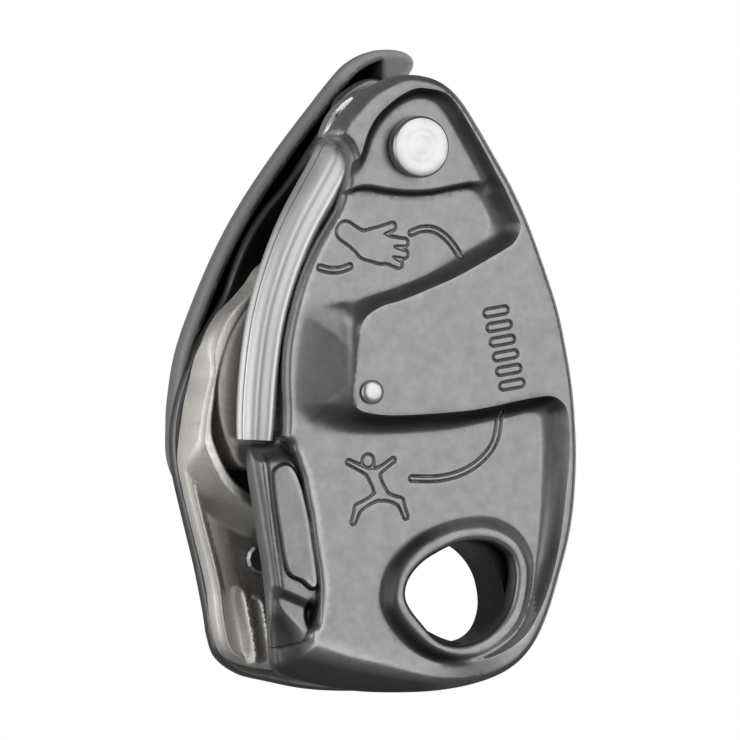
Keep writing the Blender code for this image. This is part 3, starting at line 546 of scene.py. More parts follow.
def front_depth(points):
    """Depth of the front plate's face behind its plateau."""
    rim = 0.93 * POCKET_DEPTH * open_share(points)
    depth = rim + (POCKET_DEPTH - rim) * low_share(points)
    triangle = between(points, "triangle_crest", "triangle_base")
    depth = soft_deeper(depth, 2.0 * (1 - (1 - triangle) ** 1.8))
    ring = between(points, "ring_base", "ring_crest")
    depth -= np.maximum(depth - 1.2, 0) * ease(ring) * (ring > 0)
    depth += roundover(distance(points, LINES["hole"]), 1.0)
    depth += 0.4 * roundover(distance(points, LINES["flange_crest"]), 1.2)
    flange = ease(between(points, "flange_crest", "flange_base"))
    x, z = points.T
    slant = z - 0.9 + 0.42 * (x + 28.7)
    floor = 4.7 + 2.3 * ease((z - 20.0) / 3.6)
    floor += 0.9 * ease(-slant / 1.7) * ease((z + 9.0) / 8.0)
    pad = inside(points, LINES["pad_crest"])
    pad_gap = distance(points, LINES["pad_crest"])
    floor -= 0.8 * np.where(pad, 1.0, ease(1 - pad_gap / 0.6))
    ridge = distance(points, smooth(RIDGE_LINE, 6, closed=False), closed=False)
    floor -= 0.42 * ease(1 - ridge / 1.25)
    depth += (floor - np.minimum(depth, floor)) * flange
    depth += 0.7 * side_pocket(points)
    edge = distance(points, LINES["outline"])
    width = corner_width(points)
    fall = 0.7 + 0.42 * (width - 1.0)
    depth += fall * np.clip(1 - edge / width, 0, 1) ** (1 + 0.12 * (width - 1.0))
    depth += roundover(edge, 0.7)
    depth += GROOVE_DEPTH * ease(1 - groove_gap(points) / (2 * GROOVE_HALF_WIDTH))
    return depth


def front_plate():
    outline = LINES["outline"]
    lip = smooth([(-28.6, 25.5), (-28.6, 33.0), (-28.2, 40.0), (-26.2, 48.0), (-23.4, 54.6),
                  (-20.0, 59.0), (-18.8, 59.0), (-21.9, 54.0), (-24.6, 47.5), (-26.4, 40.0),
                  (-26.7, 33.0), (-26.7, 25.5)])
    lip_left = np.array([(-28.6, 24.0), (-28.6, 33.0), (-28.2, 40.0), (-26.2, 48.0), (-23.4, 54.6),
                         (-19.9, 59.6), (-19.0, 62.0)])
    flange = smooth([(-27.4, 23.2), (-25.6, 19.0), (-24.4, 12.0), (-23.6, 6.0), (-23.0, 0.0),
                     (-23.4, -6.0), (-24.4, -10.6), (-28.4, -12.9), (-34.0, -9.0),
                     (-36.0, 20.0), (-33.0, 25.0)])

    def front(points):
        return PLATEAU_Y + front_depth(points)

    def back(points):
        x, z = points.T
        base = np.full(len(points), INNER_Y)
        strip_side = (x < np.interp(z, lip_left[:, 1], lip_left[:, 0])) & (z > 24.5) & (z < 62.0)
        base = np.where(strip_side, -8.9, base)
        base = np.where(inside(points, lip), -3.6, base)
        return np.where(inside(points, flange), -4.4, base)

    def detail(points):
        pad_gap = distance(points, LINES["pad_crest"])
        return (groove_gap(points) < 0.5) | (np.abs(flange_gap(points)) < 0.9) | (pad_gap < 0.75)

    def flange_lines():
        return [even(smooth(RIDGE_LINE, 6, closed=False) + (shift, 0.0), 0.3, closed=False)
                for shift in (-0.6, 0.0, 0.6)]

    def walls(points):
        low = between(points, "low_crest", "low_base")
        high = between(points, "triangle_crest", "triangle_base")
        ring = between(points, "ring_base", "ring_crest")
        flange_zone = inside(points, LINES["flange_crest"])
        slope = distance(points, LINES["outline"]) < corner_width(points) + 0.3
        sloped = ((low > 0) & (low < 1)) | ((high > 0) & (high < 1))
        return sloped | ((ring > 0) & (ring < 1)) | flange_zone | slope

    crests = []
    for key in ("low_crest", "triangle_crest", "ring_crest", "flange_crest", "pad_crest"):
        crests += stretches(LINES[key], outline, 0.45)
    crests += flange_lines()
    for key in ("low_base", "triangle_base"):
        crests += stretches(LINES[key], outline, 0.45)
    for shift in (-0.3, 0.4, 0.8):
        crests += stretches(LINES["flange_crest"] + (shift, 0.4 * shift), outline, 0.6)
    holes = [LINES["hole"], circle(PIVOT, PIVOT_BORE, 40), circle(CAM_AXIS, CAM_AXIS_BORE, 24)]
    shape = plate(outline, holes, front, back, open_lines=crests, detail=detail, walls=walls,
                  painted_shading=front_painted_shading, back_painted_shading=hole_painted_shading)
    return add_mesh("front_plate", [shape], 40)


def upper_left(points):
    """1 along the plate's edge left of the main rivet, and 0 elsewhere."""
    x, z = points.T
    return ease((-4.0 - x) / 4.0) * ease((z - 70.0) / 2.0)


def hole_painted_shading(points):
    """Painted shade down the inside of the attachment hole, and a painted highlight on the upper
    left edge.
    """
    lit = 1.0 + 0.7 * upper_left(points)
    return np.where(distance(points, LINES["hole"]) < 0.5, 0.06, lit)


def front_painted_shading(points):
    """Painted shade on the relief's walls and painted highlights along its crests, standing in for
    the anodising's dark and bright reflections; also painted shade and painted highlights on the
    ring round the hole, the flange, the pad, the side pocket, the bottom-left slope and the upper
    left edge.
    """
    step = 0.25
    sides = [front_depth(points + np.array(move))
             for move in ((step, 0), (-step, 0), (0, step), (0, -step))]
    here = front_depth(points)
    slope_x = (sides[0] - sides[1]) / (2 * step)
    slope_z = (sides[2] - sides[3]) / (2 * step)
    slope = np.hypot(slope_x, slope_z) + 1e-6
    crest = (sum(sides) / 4 - here) / step
    x, z = points.T
    edge = distance(points, LINES["outline"])
    inner = ease((edge - 0.9) / 0.8)
    wall = 0.27 + 0.4 * np.clip(-slope_x / slope, 0, 1) + 0.5 * np.clip(slope_z / slope, 0, 1)
    from_hole = points - np.array(HOLE_CENTRE)
    radius = reach(points, HOLE_CENTRE)
    ring = inside(points, LINES["ring_base"]) & (radius > 6.0)
    leftward = np.clip(-from_hole[:, 0] / (radius + 1e-6) * 0.95
                       - from_hole[:, 1] / (radius + 1e-6) * 0.3, -1, 1)
    wall = np.where(ring, 1.45 - 1.3 * ease((leftward + 0.35) / 0.8), wall)
    bottom = open_share(points) * ~ring
    wall += (1.05 - wall) * bottom
    wall = np.clip(wall, 0.12, 1.45)
    painted_shading = 1 - (1 - wall) * inner * ease(slope / 1.2)
    painted_shading = np.clip(painted_shading + 1.2 * inner * np.clip(crest, -0.2, 0.3), 0.12, 1.5)
    shares = np.maximum(between(points, "low_crest", "low_base"),
                        between(points, "triangle_crest", "triangle_base"))
    facing = ease((-slope_x / slope - 0.45) / 0.3) * ease((x - 1.0) / 4.0) * ~ring
    facing *= ease(shares / 0.1) * ease((1 - shares) / 0.1)
    steps = np.interp(shares, RIGHT_WALL_SHARES, RIGHT_WALL_PAINTED_SHADING)
    painted_shading += (steps - painted_shading) * facing
    left = ease((-17.5 - x) / 2.5) * ease((z - 14.0) / 8.0) * ease((68.0 - z) / 6.0)
    painted_shading *= 1 + 0.6 * left * np.exp(-((edge - 0.95) / 0.5) ** 2)
    flange = flange_gap(points)
    beside = ease((24.5 - z) / 3.0) * ease((z + 8.0) / 3.0)
    painted_shading *= 1 + 0.65 * beside * np.exp(-((flange - 0.65) / 0.5) ** 2)
    pad = distance(points, LINES["pad_crest"])
    pad_right = inside(points, LINES["pad_crest"]) & (x > -27.9 + 0.17 * (19.0 - z) * 1.1)
    painted_shading *= 1 + 0.5 * pad_right * np.exp(-((pad - 0.35) / 0.3) ** 2)
    painted_shading *= 1 - 0.16 * ease(-flange / 0.3)
    painted_shading *= 1 - 0.75 * side_pocket(points)
    width = corner_width(points)
    across = edge / width
    wide = ease((width - 1.4) / 1.6)
    painted_shading *= 1 - 0.5 * wide * ease((0.75 - across) / 0.3)
    painted_shading *= 1 + 0.32 * wide * np.exp(-((across - 0.95) / 0.2) ** 2)
    painted_shading *= 1 + 0.5 * upper_left(points) * ease((0.9 - edge) / 0.5)
    slope_zone = ease((-17.4 - x) / 3.0) * ease((z - 27.0) / 3.0) * ease((47.0 - z) / 3.0)
    return painted_shading * (1 - 0.08 * slope_zone)


# The other pieces

STRIP_PATH = [
    (-32.45, 24), (-32.1, 31), (-31.5, 37), (-30.6, 42.5), (-29.1, 48), (-27, 53.6), (-24.6, 58.5),
    (-21.9, 63), (-20.1, 66), (-19, 68.2), (-18.5, 69.8), (-18.4, 70.9)]
STRIP_WIDTHS = [
    (24, 0.97), (26, 1.03), (30, 1.06), (45, 1.07), (55, 1.1), (62, 1.14), (66, 1.14), (68, 1.12),
    (69.5, 1.04), (70.2, 0.9), (70.7, 0.66), (70.9, 0.35)]
# Painted light and shade across the strip, one value for each profile point: painted highlights on
# its bright band and right edge, painted shade along its fine line and its crease
STRIP_PAINTED_SHADING = [0.86, 0.9, 0.9, 0.85, 0.7, 0.55, 0.9, 1.0, 1.05, 1.05, 0.9, 0.68, 0.62, 0.72, 0.85,
               0.8, 0.8, 0.82, 1.1, 1.16, 1.1] + [0.8] * 7
STRIP_PROFILE = [
    (-2.9, 0), (-2.8, 0.55), (-2.55, 1.1), (-2.2, 1.5), (-2.02, 1.66), (-1.96, 1.56),
    (-1.88, 1.76), (-1.6, 2), (-1.2, 2.25), (-0.7, 2.42), (-0.2, 2.47), (0.1, 2.42), (0.3, 2.32),
    (0.5, 2.34), (0.9, 2.3), (1.4, 2.2), (1.95, 2.08), (2.35, 2.12), (2.65, 1.75), (2.85, 0.9),
    (2.9, 0), (2.75, -0.9), (2.2, -1.8), (1.2, -2.4), (0, -2.6), (-1.2, -2.4), (-2.2, -1.8),
    (-2.75, -0.9)]
STRIP_LEAN = math.radians(24.0)
FIXED_OUTLINE = RIGHT_EDGE + [
    (-28.5, -12.9), (-32.2, -10.4), (-33.6, -7), (-34.3, -3), (-35.8, 4), (-37.9, 12), (-39.6, 19),
    (-40, 25), (-38.9, 31), (-36.4, 37.5), (-33.6, 42.5), (-31.2, 46.5), (-29.4, 51),
    (-27.3, 55.5), (-24.3, 60), (-20.8, 64), (-16.6, 69.5), (-12.8, 75), (-11.4, 77.9),
    (-8.2, 80.2)]
SHELL_OUTER = [
    (-25.2, 53.2), (-28.4, 51), (-30.2, 48.6), (-32.2, 46.4), (-35.1, 43.6), (-37.1, 40.4),
    (-37.7, 37.8), (-37.5, 35.8), (-37.5, 34.2), (-38, 32.2), (-38.7, 29.4), (-39.5, 24),
    (-39.7, 20.4), (-38.8, 16), (-37.8, 12), (-36.7, 8), (-35.6, 4), (-34.7, 0), (-34.2, -4),
    (-33.3, -8), (-31.7, -10.3), (-28, -11.7), (-23, -12.3), (-18.5, -12), (-17, -8), (-16.6, 0),
    (-17, 6), (-19, 9.6), (-23, 10.6), (-26.2, 11.8)]
SHELL_RIBS = [[(-29.6, 0.0), (-29.0, -5.0), (-28.4, -11.0)],
              [(-26.8, -1.4), (-26.3, -6.0), (-25.8, -11.0)]]
HANDLE_OUTLINE = [
    (3.3, 83.6), (2.2, 85.1), (-0.6, 85.7), (-3.4, 85.4), (-6.3, 84.2), (-9, 82), (-14.5, 75.6),
    (-19.7, 69.2), (-25.4, 61.3), (-30, 53.4), (-34.2, 44.2), (-36.6, 37.5), (-37.8, 30.8),
    (-38.1, 26.2), (-37.9, 20.8), (-35.8, 16.4), (-31, 13.4), (-25, 12.2), (-18, 13.8), (-9.5, 17),
    (-3, 21.8), (0.2, 29.5), (0.4, 38), (-0.4, 46), (-3.2, 54), (-5.8, 61), (-6.6, 67), (-5.2, 73),
    (-1.8, 78), (2.2, 81.4)]
BAND_PATH = [
    (0.4, 78.2), (-4, 80), (-8.6, 79.4), (-11.8, 76.6), (-14, 73.6), (-16.2, 71.2), (-17.6, 68.4),
    (-17.3, 64.8), (-15, 61.6), (-11.4, 59.7), (-7, 59.1), (-1.6, 60.5)]
HANDLE_FRONT = 12.0
HANDLE_BACK = 22.0
HANDLE_ROUNDING = 7.6
HANDLE_WALL = 1.6
HOLLOW_FLOOR = 19.8
HUB_FRONT = 11.6


def wear_strip():
    path = even(smooth(STRIP_PATH, 8, closed=False), 0.45, closed=False)
    heights, widths = np.array(STRIP_WIDTHS).T
    scales = np.interp(path[:, 1], heights, widths)
    along, out = np.array(STRIP_PROFILE).T
    lean_cos, lean_sin = math.cos(STRIP_LEAN), math.sin(STRIP_LEAN)
    profile = np.stack([lean_cos * along - lean_sin * out,
                        -lean_sin * along - lean_cos * out], axis=1)
    points, faces, _ = swept(path, -6.0, profile, scales)
    painted_shading = np.tile(STRIP_PAINTED_SHADING, len(path))
    return add_mesh("wear_strip_bar", [(points, faces, painted_shading)], 60)


def friction_plate():
    over = smooth(BAND_PATH, 10, closed=False)
    way = np.gradient(over, axis=0)
    way /= np.linalg.norm(way, axis=1)[:, None]
    thickness = 2.1
    half_width = 7.6
    under = over + np.stack([-way[:, 1], way[:, 0]], axis=1) * thickness
    band = np.vstack([over, under[::-1]])
    web = arc(PIVOT, 8.9, 52, 296, 90)

    def soft(line, level, sign, radius):
        return lambda points: level + sign * roundover(distance(points, line), radius)

    holes = [circle(PIVOT, 3.5, 40)]
    holes += [circle(centre, FRICTION_RIVET_BORE, 20) for centre in FRICTION_RIVETS]
    shapes = [plate(band, [], soft(band, -half_width, 1, 0.6), soft(band, half_width, -1, 0.6)),
              plate(web, holes, soft(web, 5.7, 1, 0.2), soft(web, half_width, -1, 0.2))]
    return add_mesh("friction_band", shapes)


def fixed_plate():
    outline = smooth(FIXED_OUTLINE)
    slot = np.vstack([arc(CAM_AXIS, 15.2, 152, 194, 20), arc(CAM_AXIS, 10.8, 194, 152, 20)])
    hole = LINES["hole"] * (1, -1) + (0, 0.2)
    holes = [hole, circle(PIVOT, PIVOT_BORE, 40), circle(CAM_AXIS, 4.3, 40), slot]
    holes += [circle(centre, FRICTION_RIVET_BORE, 16) for centre in FRICTION_RIVETS]
    holes += [circle(centre, SHELL_RIVET_BORE, 20) for centre in SHELL_RIVETS]

    def front(points):
        radius = reach(points, HOLE_CENTRE)
        level = FIXED_FRONT + roundover(distance(points, outline), 0.5)
        cone = 2.0 + (radius - COLLAR_RADIUS) * 2.0
        level = np.where(radius < COLLAR_RADIUS + 3.0, np.minimum(level, cone), level)
        collar = -7.4 + roundover(COLLAR_RADIUS - radius, 0.5)
        return np.where(radius < COLLAR_RADIUS + 0.02, collar, level)

    def back(points):
        radius = reach(points, HOLE_CENTRE)
        level = FIXED_BACK - roundover(distance(points, outline), 0.8)
        dish = 3.7 + (FIXED_BACK - 3.7) * ease((radius - 9.6) / 6.2)
        level = np.minimum(level, dish)
        level -= roundover(distance(points, hole), 0.8)
        return np.where(reach(points, PIVOT) < 4.7, FIXED_BACK - 2.2, level)

    def walls(points):
        return (reach(points, HOLE_CENTRE) < 16.5) | (reach(points, PIVOT) < 5.5)

    # Where the plate shows behind the wear strip, which is given painted shade
    def behind_strip(points):
        x, z = points.T
        return ease((-12.0 - x) / 3.0) * ease((z - 33.0) / 3.0) * ease((70.0 - z) / 4.0)

    # Painted shade: dark inside the collar round the hole, and darker where the plate shows behind
    # the strip
    def painted_shading(points):
        rim = distance(points, outline) < 0.2
        shade = np.where(reach(points, HOLE_CENTRE) < COLLAR_RADIUS + 0.05, 0.12, 1.0)
        return shade * (1 - np.where(rim, 0.3, 0.85) * behind_strip(points))

    # Painted shade on the back: dark down the hole, and dark on the rim behind the strip
    def back_painted_shading(points):
        rim = distance(points, outline) < 0.9
        shade = np.where(distance(points, hole) < 0.5, 0.05, 1.0)
        return shade * (1 - 0.9 * rim * behind_strip(points))

    lines = [circle(HOLE_CENTRE, radius, 120) for radius in (COLLAR_RADIUS, COLLAR_RADIUS + 0.1)]
    lines += [circle(PIVOT, radius, 80) for radius in (4.68, 4.76)]
    shape = plate(outline, holes, front, back, lines=lines, coarse=1.2, walls=walls,
                  wall_gap=0.5, painted_shading=painted_shading, back_painted_shading=back_painted_shading)
    return add_mesh("fixed_plate", [shape])


def shell_inner():
    """The shell's edge round the cam, from below the cam round its left to the top."""
    angles = np.linspace(236, 118, 90)
    bulge = ease((angles - 180) / 20) * ease((238 - angles) / 25)
    radius = 21.4 - 0.7 * ease((185 - angles) / 25) + 1.5 * bulge
    turns = np.radians(angles)
    return np.stack([CAM_AXIS[0] + radius * np.cos(turns),
                     CAM_AXIS[1] + radius * np.sin(turns)], axis=1)


def wear_shell():
    inner = shell_inner()
    outer = smooth(SHELL_OUTER, 8, closed=False)
    outline = np.vstack([outer, inner])
    ribs = [smooth(rib, 6, closed=False) for rib in SHELL_RIBS]

    def front(points):
        x, z = points.T
        floor = 6.7 - 1.9 * ease((3.0 - z) / 16.0)
        from_inner = distance(points, inner, closed=False)
        from_outer = distance(points, outer, closed=False)
        wall = -1.0 + roundover(from_inner, 0.35) + roundover(from_outer, 0.8)
        shoulder = ease((from_inner - 1.7) / 3.4)
        lip_top = 4.4 - 0.2 * ease((18.0 - z) / 20.0)
        lip = lip_top + roundover(from_outer, 0.9) + 3.0 * ease((from_outer - 1.0) / 2.0)
        level = np.minimum(floor, lip)
        for rib, half in zip(ribs, (1.5, 1.3)):
            gap = distance(points, rib, closed=False)
            level = np.minimum(level, floor - 2.5 * ease(1 - gap / half)
                               + 0.4 * ease((z + 3.0) / 4.0))
        level = np.minimum(level, wall + (floor - wall) * shoulder)
        edge = distance(points, outline)
        return np.minimum(level + 0.5 * roundover(edge, 0.6), 7.3)

    def back(points):
        return 7.7 - 4.5 * ease((points[:, 1] - 34.0) / 6.0)

    lines = [inner + (inner - np.array(CAM_AXIS)) * share for share in (0.02, 0.045, 0.08)]
    lines = [line[8:-6] for line in lines]
    holes = [circle(centre, SHELL_RIVET_BORE, 20) for centre in SHELL_RIVETS]
    shape = plate(outline, holes, front, back, open_lines=lines, walls=everywhere, wall_gap=0.36)
    return add_mesh("wear_liner", [shape], 50)


def handle():
    outline = smooth(HANDLE_OUTLINE)
    hollow = shrunk(outline, HANDLE_WALL)
    tip = (hollow[:, 0] > -2.2) & (hollow[:, 1] > 60.0)
    hollow = smooth(even(hollow[~tip], 1.6), 5)
    ledge = shrunk(hollow, 0.12)
    rings = [circle(CAM_AXIS, radius, 90) for radius in (6.75, 6.85, 8.7, 8.8, 10.2, 10.3)]

    def rounded_back(points):
        return HANDLE_BACK - 0.95 * roundover(distance(points, outline), HANDLE_ROUNDING)

    def back(points):
        radius = reach(points, CAM_AXIS)
        level = rounded_back(points)
        rim = HANDLE_BACK - roundover(radius - 8.8, 0.7)
        level = np.where(radius < 11.5, np.minimum(level, rim), level)
        return np.where(radius < 8.76, 17.4, level)

    def front(points):
        radius = reach(points, CAM_AXIS)
        level = HANDLE_FRONT + roundover(distance(points, outline), 1.1)
        level += roundover(distance(points, hollow), 0.35)
        deep = inside(points, ledge) | (distance(points, ledge) < 0.03)
        floor = np.minimum(HOLLOW_FLOOR, rounded_back(points) - 1.2)
        level = np.where(deep, floor, level)
        level = np.where(radius < 10.25, HUB_FRONT, level)
        groove = (radius > 6.8) & (radius < 8.75)
        return np.where(groove, 15.6, level)

    def walls(points):
        return (distance(points, outline) < 7.0) | (reach(points, CAM_AXIS) < 12.0)

    # Painted shade deep in the hollow, a painted highlight along the outer rim and a lighter
    # painted face at the tip
    def painted_shading(points):
        gap = distance(points, hollow)
        deep = ease(np.where(inside(points, hollow), 0.5 + gap / 0.5, 0.5 - gap / 0.9))
        rim = distance(points, outline)
        tip_face = ease((points[:, 1] - 79.0) / 3.0)
        face = 0.3 + 0.45 * tip_face + 1.0 * ease(1 - rim / 1.5)
        return 0.02 + (face - 0.02) * (1 - deep)

    shape = plate(outline, [circle(CAM_AXIS, 6.0, 60)], front, back, lines=rings + [hollow, ledge],
                  walls=walls, wall_gap=0.55, coarse=1.2, painted_shading=painted_shading)
    return add_mesh("handle_lever", [shape])


def selector_knob():
    profile = [(0.05, 21.2), (5.6, 21.2), (6.3, 21.1), (6.7, 20.8), (7.2, 20.75), (7.8, 20.6),
               (8.1, 20.3), (8.2, 19.9), (8.2, 19.2), (8.0, 19.0), (2.1, 19.0), (2.1, -3.3),
               (1.9, -3.6), (0.05, -3.6)]
    x, z = CAM_AXIS
    bar = smooth([(x - 1.5, z - 6.4), (x - 1.9, z), (x - 1.1, z + 7.0), (x + 1.1, z + 7.0),
                  (x + 1.9, z), (x + 1.5, z - 6.4)])

    def back(points):
        return 22.7 - roundover(distance(points, bar), 0.9)

    def front(points):
        return np.full(len(points), 20.6)

    shape = plate(bar, [], front, back, walls=everywhere)
    return add_mesh("selector_knob", [turned(profile, CAM_AXIS), shape])


def pin_head(radius, front, height):
    """The profile of a rivet's head, from the middle of its face to its back edge."""
    return [(0.05, front), (radius * 0.25, front), (radius * 0.27, front + 0.02),
            (radius * 0.29, front), (radius * 0.5, front), (radius * 0.52, front + 0.02),
            (radius * 0.54, front), (radius - 0.36, front), (radius - 0.3, front + 0.03),
            (radius - 0.06, front + 0.3), (radius, front + 0.45), (radius, front + height)]


def main_pivot():
    profile = pin_head(4.85, -13.3, 2.0) + [(3.2, -11.3), (3.2, 9.1), (4.3, 9.6), (4.3, 10.6),
                                           (3.9, 10.9), (0.05, 10.9)]
    return add_mesh("pivot_pin", [turned(profile, PIVOT)])


def catch_rivet():
    profile = [(0.05, -13.95), (0.9, -13.93), (1.35, -13.85), (1.7, -13.7), (1.9, -13.5),
               (1.9, -13.3), (1.0, -13.3), (1.0, -6.5), (0.05, -6.5)]
    return add_mesh("catch_pin", [turned(profile, CAM_AXIS, 64)])


def show(piece, body, node, look):
    """Put a visible piece on its body, in the place of a CAD node."""
    piece.data.materials.append(look)
    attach(piece, body)
    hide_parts(node)


# Materials

# The middle range of a noise, which each look stretches to its own range
NOISE_LOW = 0.3
NOISE_HIGH = 0.7


def add_node(made, kind, values=()):
    """A new shader node, with values for some of its inputs."""
    node = made.node_tree.nodes.new(kind)
    for name, value in dict(values).items():
        node.inputs[name].default_value = value
    return node


def to_shader(made, source, name):
    made.node_tree.links.new(source, made.node_tree.nodes["Principled BSDF"].inputs[name])


def new_material(name, colour, roughness, metallic):
    made = bpy.data.materials.new(name)
    made.use_nodes = True
    inputs = made.node_tree.nodes["Principled BSDF"].inputs
    inputs["Base Color"].default_value = (*colour, 1.0)
    inputs["Roughness"].default_value = roughness
    inputs["Metallic"].default_value = metallic
    return made


def with_painted_shading(made, colour):
    """The colour times the piece's painted light and shade, which also dims the shine as painted
    shade on its reflections.
    """
    links = made.node_tree.links
    painted_shading = add_node(made, "ShaderNodeAttribute")
    painted_shading.attribute_name = "painted_shading"
    scale = add_node(made, "ShaderNodeVectorMath")
    scale.operation = "SCALE"
    links.new(colour, scale.inputs[0])
    links.new(painted_shading.outputs["Fac"], scale.inputs["Scale"])
    half = add_node(made, "ShaderNodeMath")
    half.operation = "MULTIPLY"
    half.inputs[1].default_value = 0.5
    links.new(painted_shading.outputs["Fac"], half.inputs[0])
    to_shader(made, half.outputs["Value"], "Specular IOR Level")
    return scale.outputs["Vector"]


def noise(made, scale, detail=4.0, stretch=(1.0, 1.0, 1.0)):
    links = made.node_tree.links
    coordinates = add_node(made, "ShaderNodeTexCoord")
    mapping = add_node(made, "ShaderNodeMapping", {"Scale": stretch})
    texture = add_node(made, "ShaderNodeTexNoise", {"Scale": scale, "Detail": detail})
    links.new(coordinates.outputs["Object"], mapping.inputs["Vector"])
    links.new(mapping.outputs["Vector"], texture.inputs["Vector"])
    return texture.outputs["Fac"]


def vary_roughness(made, source, low, high):
    node = add_node(made, "ShaderNodeMapRange",
                    {"From Min": NOISE_LOW, "From Max": NOISE_HIGH, "To Min": low, "To Max": high})
    made.node_tree.links.new(source, node.inputs["Value"])
    to_shader(made, node.outputs["Result"], "Roughness")


def vary_colour(made, source, dark, light, painted_shading=False):
    ramp = add_node(made, "ShaderNodeValToRGB")
    stops = ramp.color_ramp.elements
    for stop, place, colour in zip(stops, (NOISE_LOW, NOISE_HIGH), (dark, light)):
        stop.position = place
        stop.color = (*colour, 1.0)
    made.node_tree.links.new(source, ramp.inputs["Fac"])
    result = ramp.outputs["Color"]
    to_shader(made, with_painted_shading(made, result) if painted_shading else result, "Base Color")


def bump(made, source, height_mm, strength):
    node = add_node(made, "ShaderNodeBump", {"Distance": height_mm * MM, "Strength": strength})
    made.node_tree.links.new(source, node.inputs["Height"])
    to_shader(made, node.outputs["Normal"], "Normal")


def anodised(name, dark, light, painted_shading=False):
    made = new_material(name, light, 0.36, 0.9)
    vary_colour(made, noise(made, 900.0), dark, light, painted_shading)
    vary_roughness(made, noise(made, 400.0, 6.0), 0.32, 0.42)
    bump(made, noise(made, 6000.0, 2.0, (1.0, 1.0, 0.35)), 0.006, 0.5)
    return made


def polished(name, light, low, high, stretch, painted_shading=False):
    made = new_material(name, light, low, 1.0)
    dark = tuple(0.94 * channel for channel in light)
    vary_colour(made, noise(made, 250.0, 4.0, stretch), dark, light, painted_shading)
    vary_roughness(made, noise(made, 500.0, 6.0, stretch), low, high)
    bump(made, noise(made, 3000.0, 3.0, stretch), 0.003, 0.4)
    return made


def grained(name, dark, light, metallic, low, high, scale, height, painted_shading=False):
    made = new_material(name, light, low, metallic)
    grain = noise(made, scale, 5.0)
    vary_colour(made, grain, dark, light, painted_shading)
    vary_roughness(made, noise(made, scale / 3, 3.0), low, high)
    bump(made, grain, height, 0.8)
    return made


# Looks made with painted shading multiply their colour and shine by each piece's painted light and
# shade
GREY = anodised("anodised_grey", (0.235, 0.235, 0.24), (0.265, 0.265, 0.27), painted_shading=True)
DARK_GREY = anodised("anodised_dark", (0.17, 0.17, 0.175), (0.2, 0.2, 0.205))
DARK_PLATE = anodised("anodised_dark_plate", (0.17, 0.17, 0.175), (0.2, 0.2, 0.205), painted_shading=True)
POLISHED = polished("polished_stainless", (0.84, 0.84, 0.84), 0.16, 0.28, (1.0, 1.0, 0.1))
RIVET = polished("rivet_stainless", (0.56, 0.56, 0.56), 0.3, 0.4, (1.0, 1.0, 1.0))
STRIP = polished("strip_stainless", (0.86, 0.86, 0.86), 0.44, 0.52, (1.0, 1.0, 0.15), painted_shading=True)
BLASTED = grained("blasted_stainless", (0.72, 0.695, 0.66), (0.85, 0.83, 0.8), 1.0, 0.42, 0.55,
                  3500.0, 0.02)
CAST = grained("cast_steel", (0.6, 0.565, 0.53), (0.7, 0.665, 0.63), 1.0, 0.5, 0.62, 2500.0, 0.02)
NYLON = grained("moulded_nylon", (0.115, 0.115, 0.117), (0.135, 0.135, 0.137), 0.0, 0.45, 0.55,
                3000.0, 0.015)
NYLON_PAINTED_SHADING = grained("moulded_nylon_lever", (0.25, 0.256, 0.25), (0.3, 0.306, 0.3), 0.0, 0.42,
                      0.55, 3000.0, 0.015, painted_shading=True)
SPRING = polished("spring_steel", (0.55, 0.55, 0.56), 0.3, 0.42, (1.0, 1.0, 1.0))
BRONZE = polished("bearing_bronze", (0.55, 0.38, 0.2), 0.35, 0.45, (1.0, 1.0, 1.0))
# A near-black look for the handle's core: painted shade for the lever's hollow
CORE_PAINTED_SHADE = anodised("core_painted_shade_steel", (0.03, 0.03, 0.032), (0.04, 0.04, 0.042))
NODE_LOOKS = {
    "grey_anodised": GREY, "dark_anodised": DARK_GREY, "stainless": RIVET,
    "blasted_stainless": BLASTED, "cast_cam": CAST, "handle_nylon": NYLON,
    "spring_steel": SPRING, "bronze": BRONZE}


# Studio

def softbox(name, direction, width, height, radiance):
    """A soft rectangular light one metre away that faces the object from a direction."""
    data = bpy.data.lights.new(name, "AREA")
    data.shape = "RECTANGLE"
    data.size = width
    data.size_y = height
    data.energy = radiance * math.pi * width * height
    lamp = bpy.data.objects.new(name, data)
    bpy.context.scene.collection.objects.link(lamp)
    way = Vector(direction).normalized()
    lamp.location = way + Vector((-0.012, 0.0, 0.035))
    lamp.rotation_mode = "QUATERNION"
    lamp.rotation_quaternion = way.to_track_quat("Z", "Y")
    lamp.visible_camera = False
    return lamp


def studio():
    world = bpy.data.worlds.new("studio")
    bpy.context.scene.world = world
    world.use_nodes = True
    nodes = world.node_tree.nodes
    links = world.node_tree.links
    dim = nodes["Background"]
    bright = nodes.new("ShaderNodeBackground")
    for node, strength in ((dim, 0.16), (bright, 1.0)):
        node.inputs["Color"].default_value = (1.0, 1.0, 1.0, 1.0)
        node.inputs["Strength"].default_value = strength
    path = nodes.new("ShaderNodeLightPath")
    mix = nodes.new("ShaderNodeMixShader")
    links.new(path.outputs["Is Camera Ray"], mix.inputs["Fac"])
    links.new(dim.outputs["Background"], mix.inputs[1])
    links.new(bright.outputs["Background"], mix.inputs[2])
    links.new(mix.outputs["Shader"], nodes["World Output"].inputs["Surface"])
    softbox("front_box", (0.40, -0.91, 0.1), 1.1, 0.75, 1.7)
    softbox("upper_box", (0.1, -0.8, 0.62), 0.7, 0.25, 2.4)
    softbox("left_box", (-0.9, -0.4, 0.05), 0.6, 0.9, 1.3)
    softbox("left_back_box", (-0.84, 0.5, 0.05), 0.6, 0.9, 1.6)
    softbox("right_back_box", (0.9, 0.38, 0.1), 0.4, 0.8, 1.4)


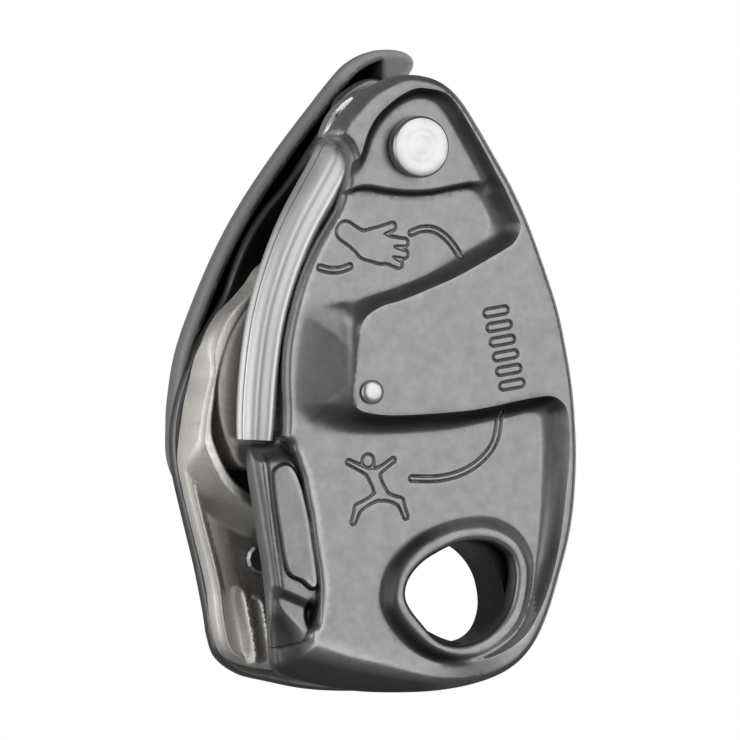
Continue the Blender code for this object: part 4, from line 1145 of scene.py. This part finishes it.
def floor():
    mesh = bpy.data.meshes.new("floor")
    size = 40.0
    drop = -1.0
    mesh.from_pydata([(-size, -size, drop), (size, -size, drop), (size, size, drop),
                      (-size, size, drop)], [], [(0, 1, 2, 3)])
    piece = bpy.data.objects.new("floor", mesh)
    bpy.context.scene.collection.objects.link(piece)
    look = new_material("floor", (0.9, 0.9, 0.9), 0.9, 0.0)
    shader = look.node_tree.nodes["Principled BSDF"]
    shader.inputs["Emission Color"].default_value = (1.0, 1.0, 1.0, 1.0)
    shader.inputs["Emission Strength"].default_value = 1.0
    mesh.materials.append(look)
    piece.visible_glossy = False
    piece.visible_diffuse = False


def camera():
    azimuth = math.radians(-24.0)
    gap = 3.0
    view_width = 116.0 * MM
    target = Vector((-15.76, -13.0, 34.98)) * MM
    data = bpy.data.cameras.new("camera")
    data.sensor_width = 36.0
    data.lens = data.sensor_width * gap / view_width
    data.clip_start = 0.01
    obj = bpy.data.objects.new("camera", data)
    bpy.context.scene.collection.objects.link(obj)
    way = Vector((math.sin(azimuth), -math.cos(azimuth), 0.0))
    obj.location = target + way * gap
    obj.rotation_euler = (math.pi / 2, 0.0, azimuth)
    bpy.context.scene.camera = obj


def dress_cad_nodes():
    """Looks for the CAD's own nodes, with the handle's core painted near black as painted shade in
    the lever's hollow, and rounded edges for the cast cam.
    """
    for row in frame["record"]["subparts"]:
        node = frame["nodes"][row["node"]]
        core = row["node"] == "handle_core"
        node.data.materials.clear()
        node.data.materials.append(CORE_PAINTED_SHADE if core else NODE_LOOKS[row["material_slot"]])
    cam = frame["nodes"]["cam"]
    remesh = cam.modifiers.new("cast", "REMESH")
    remesh.mode = "VOXEL"
    remesh.voxel_size = 0.3 * MM
    remesh.use_smooth_shade = True
    relax = cam.modifiers.new("relax", "SMOOTH")
    relax.factor = 0.6
    relax.iterations = 6


def main():
    bpy.context.scene.view_settings.view_transform = "Standard"
    dress_cad_nodes()
    studio()
    floor()
    camera()
    show(front_plate(), "moving_plate", "moving_side_plate", GREY)
    show(wear_strip(), "moving_plate", "wear_strip", STRIP)
    show(catch_rivet(), "moving_plate", "catch_rivet", RIVET)
    show(friction_plate(), "frame", "friction_plate", POLISHED)
    show(main_pivot(), "frame", "main_pivot_pin", RIVET)
    show(fixed_plate(), "frame", "fixed_side_plate", DARK_PLATE)
    show(wear_shell(), "frame", "wear_shell", BLASTED)
    show(handle(), "handle", "handle_shell", NYLON_PAINTED_SHADING)
    show(selector_knob(), "selector", "mode_selector", NYLON)


main()
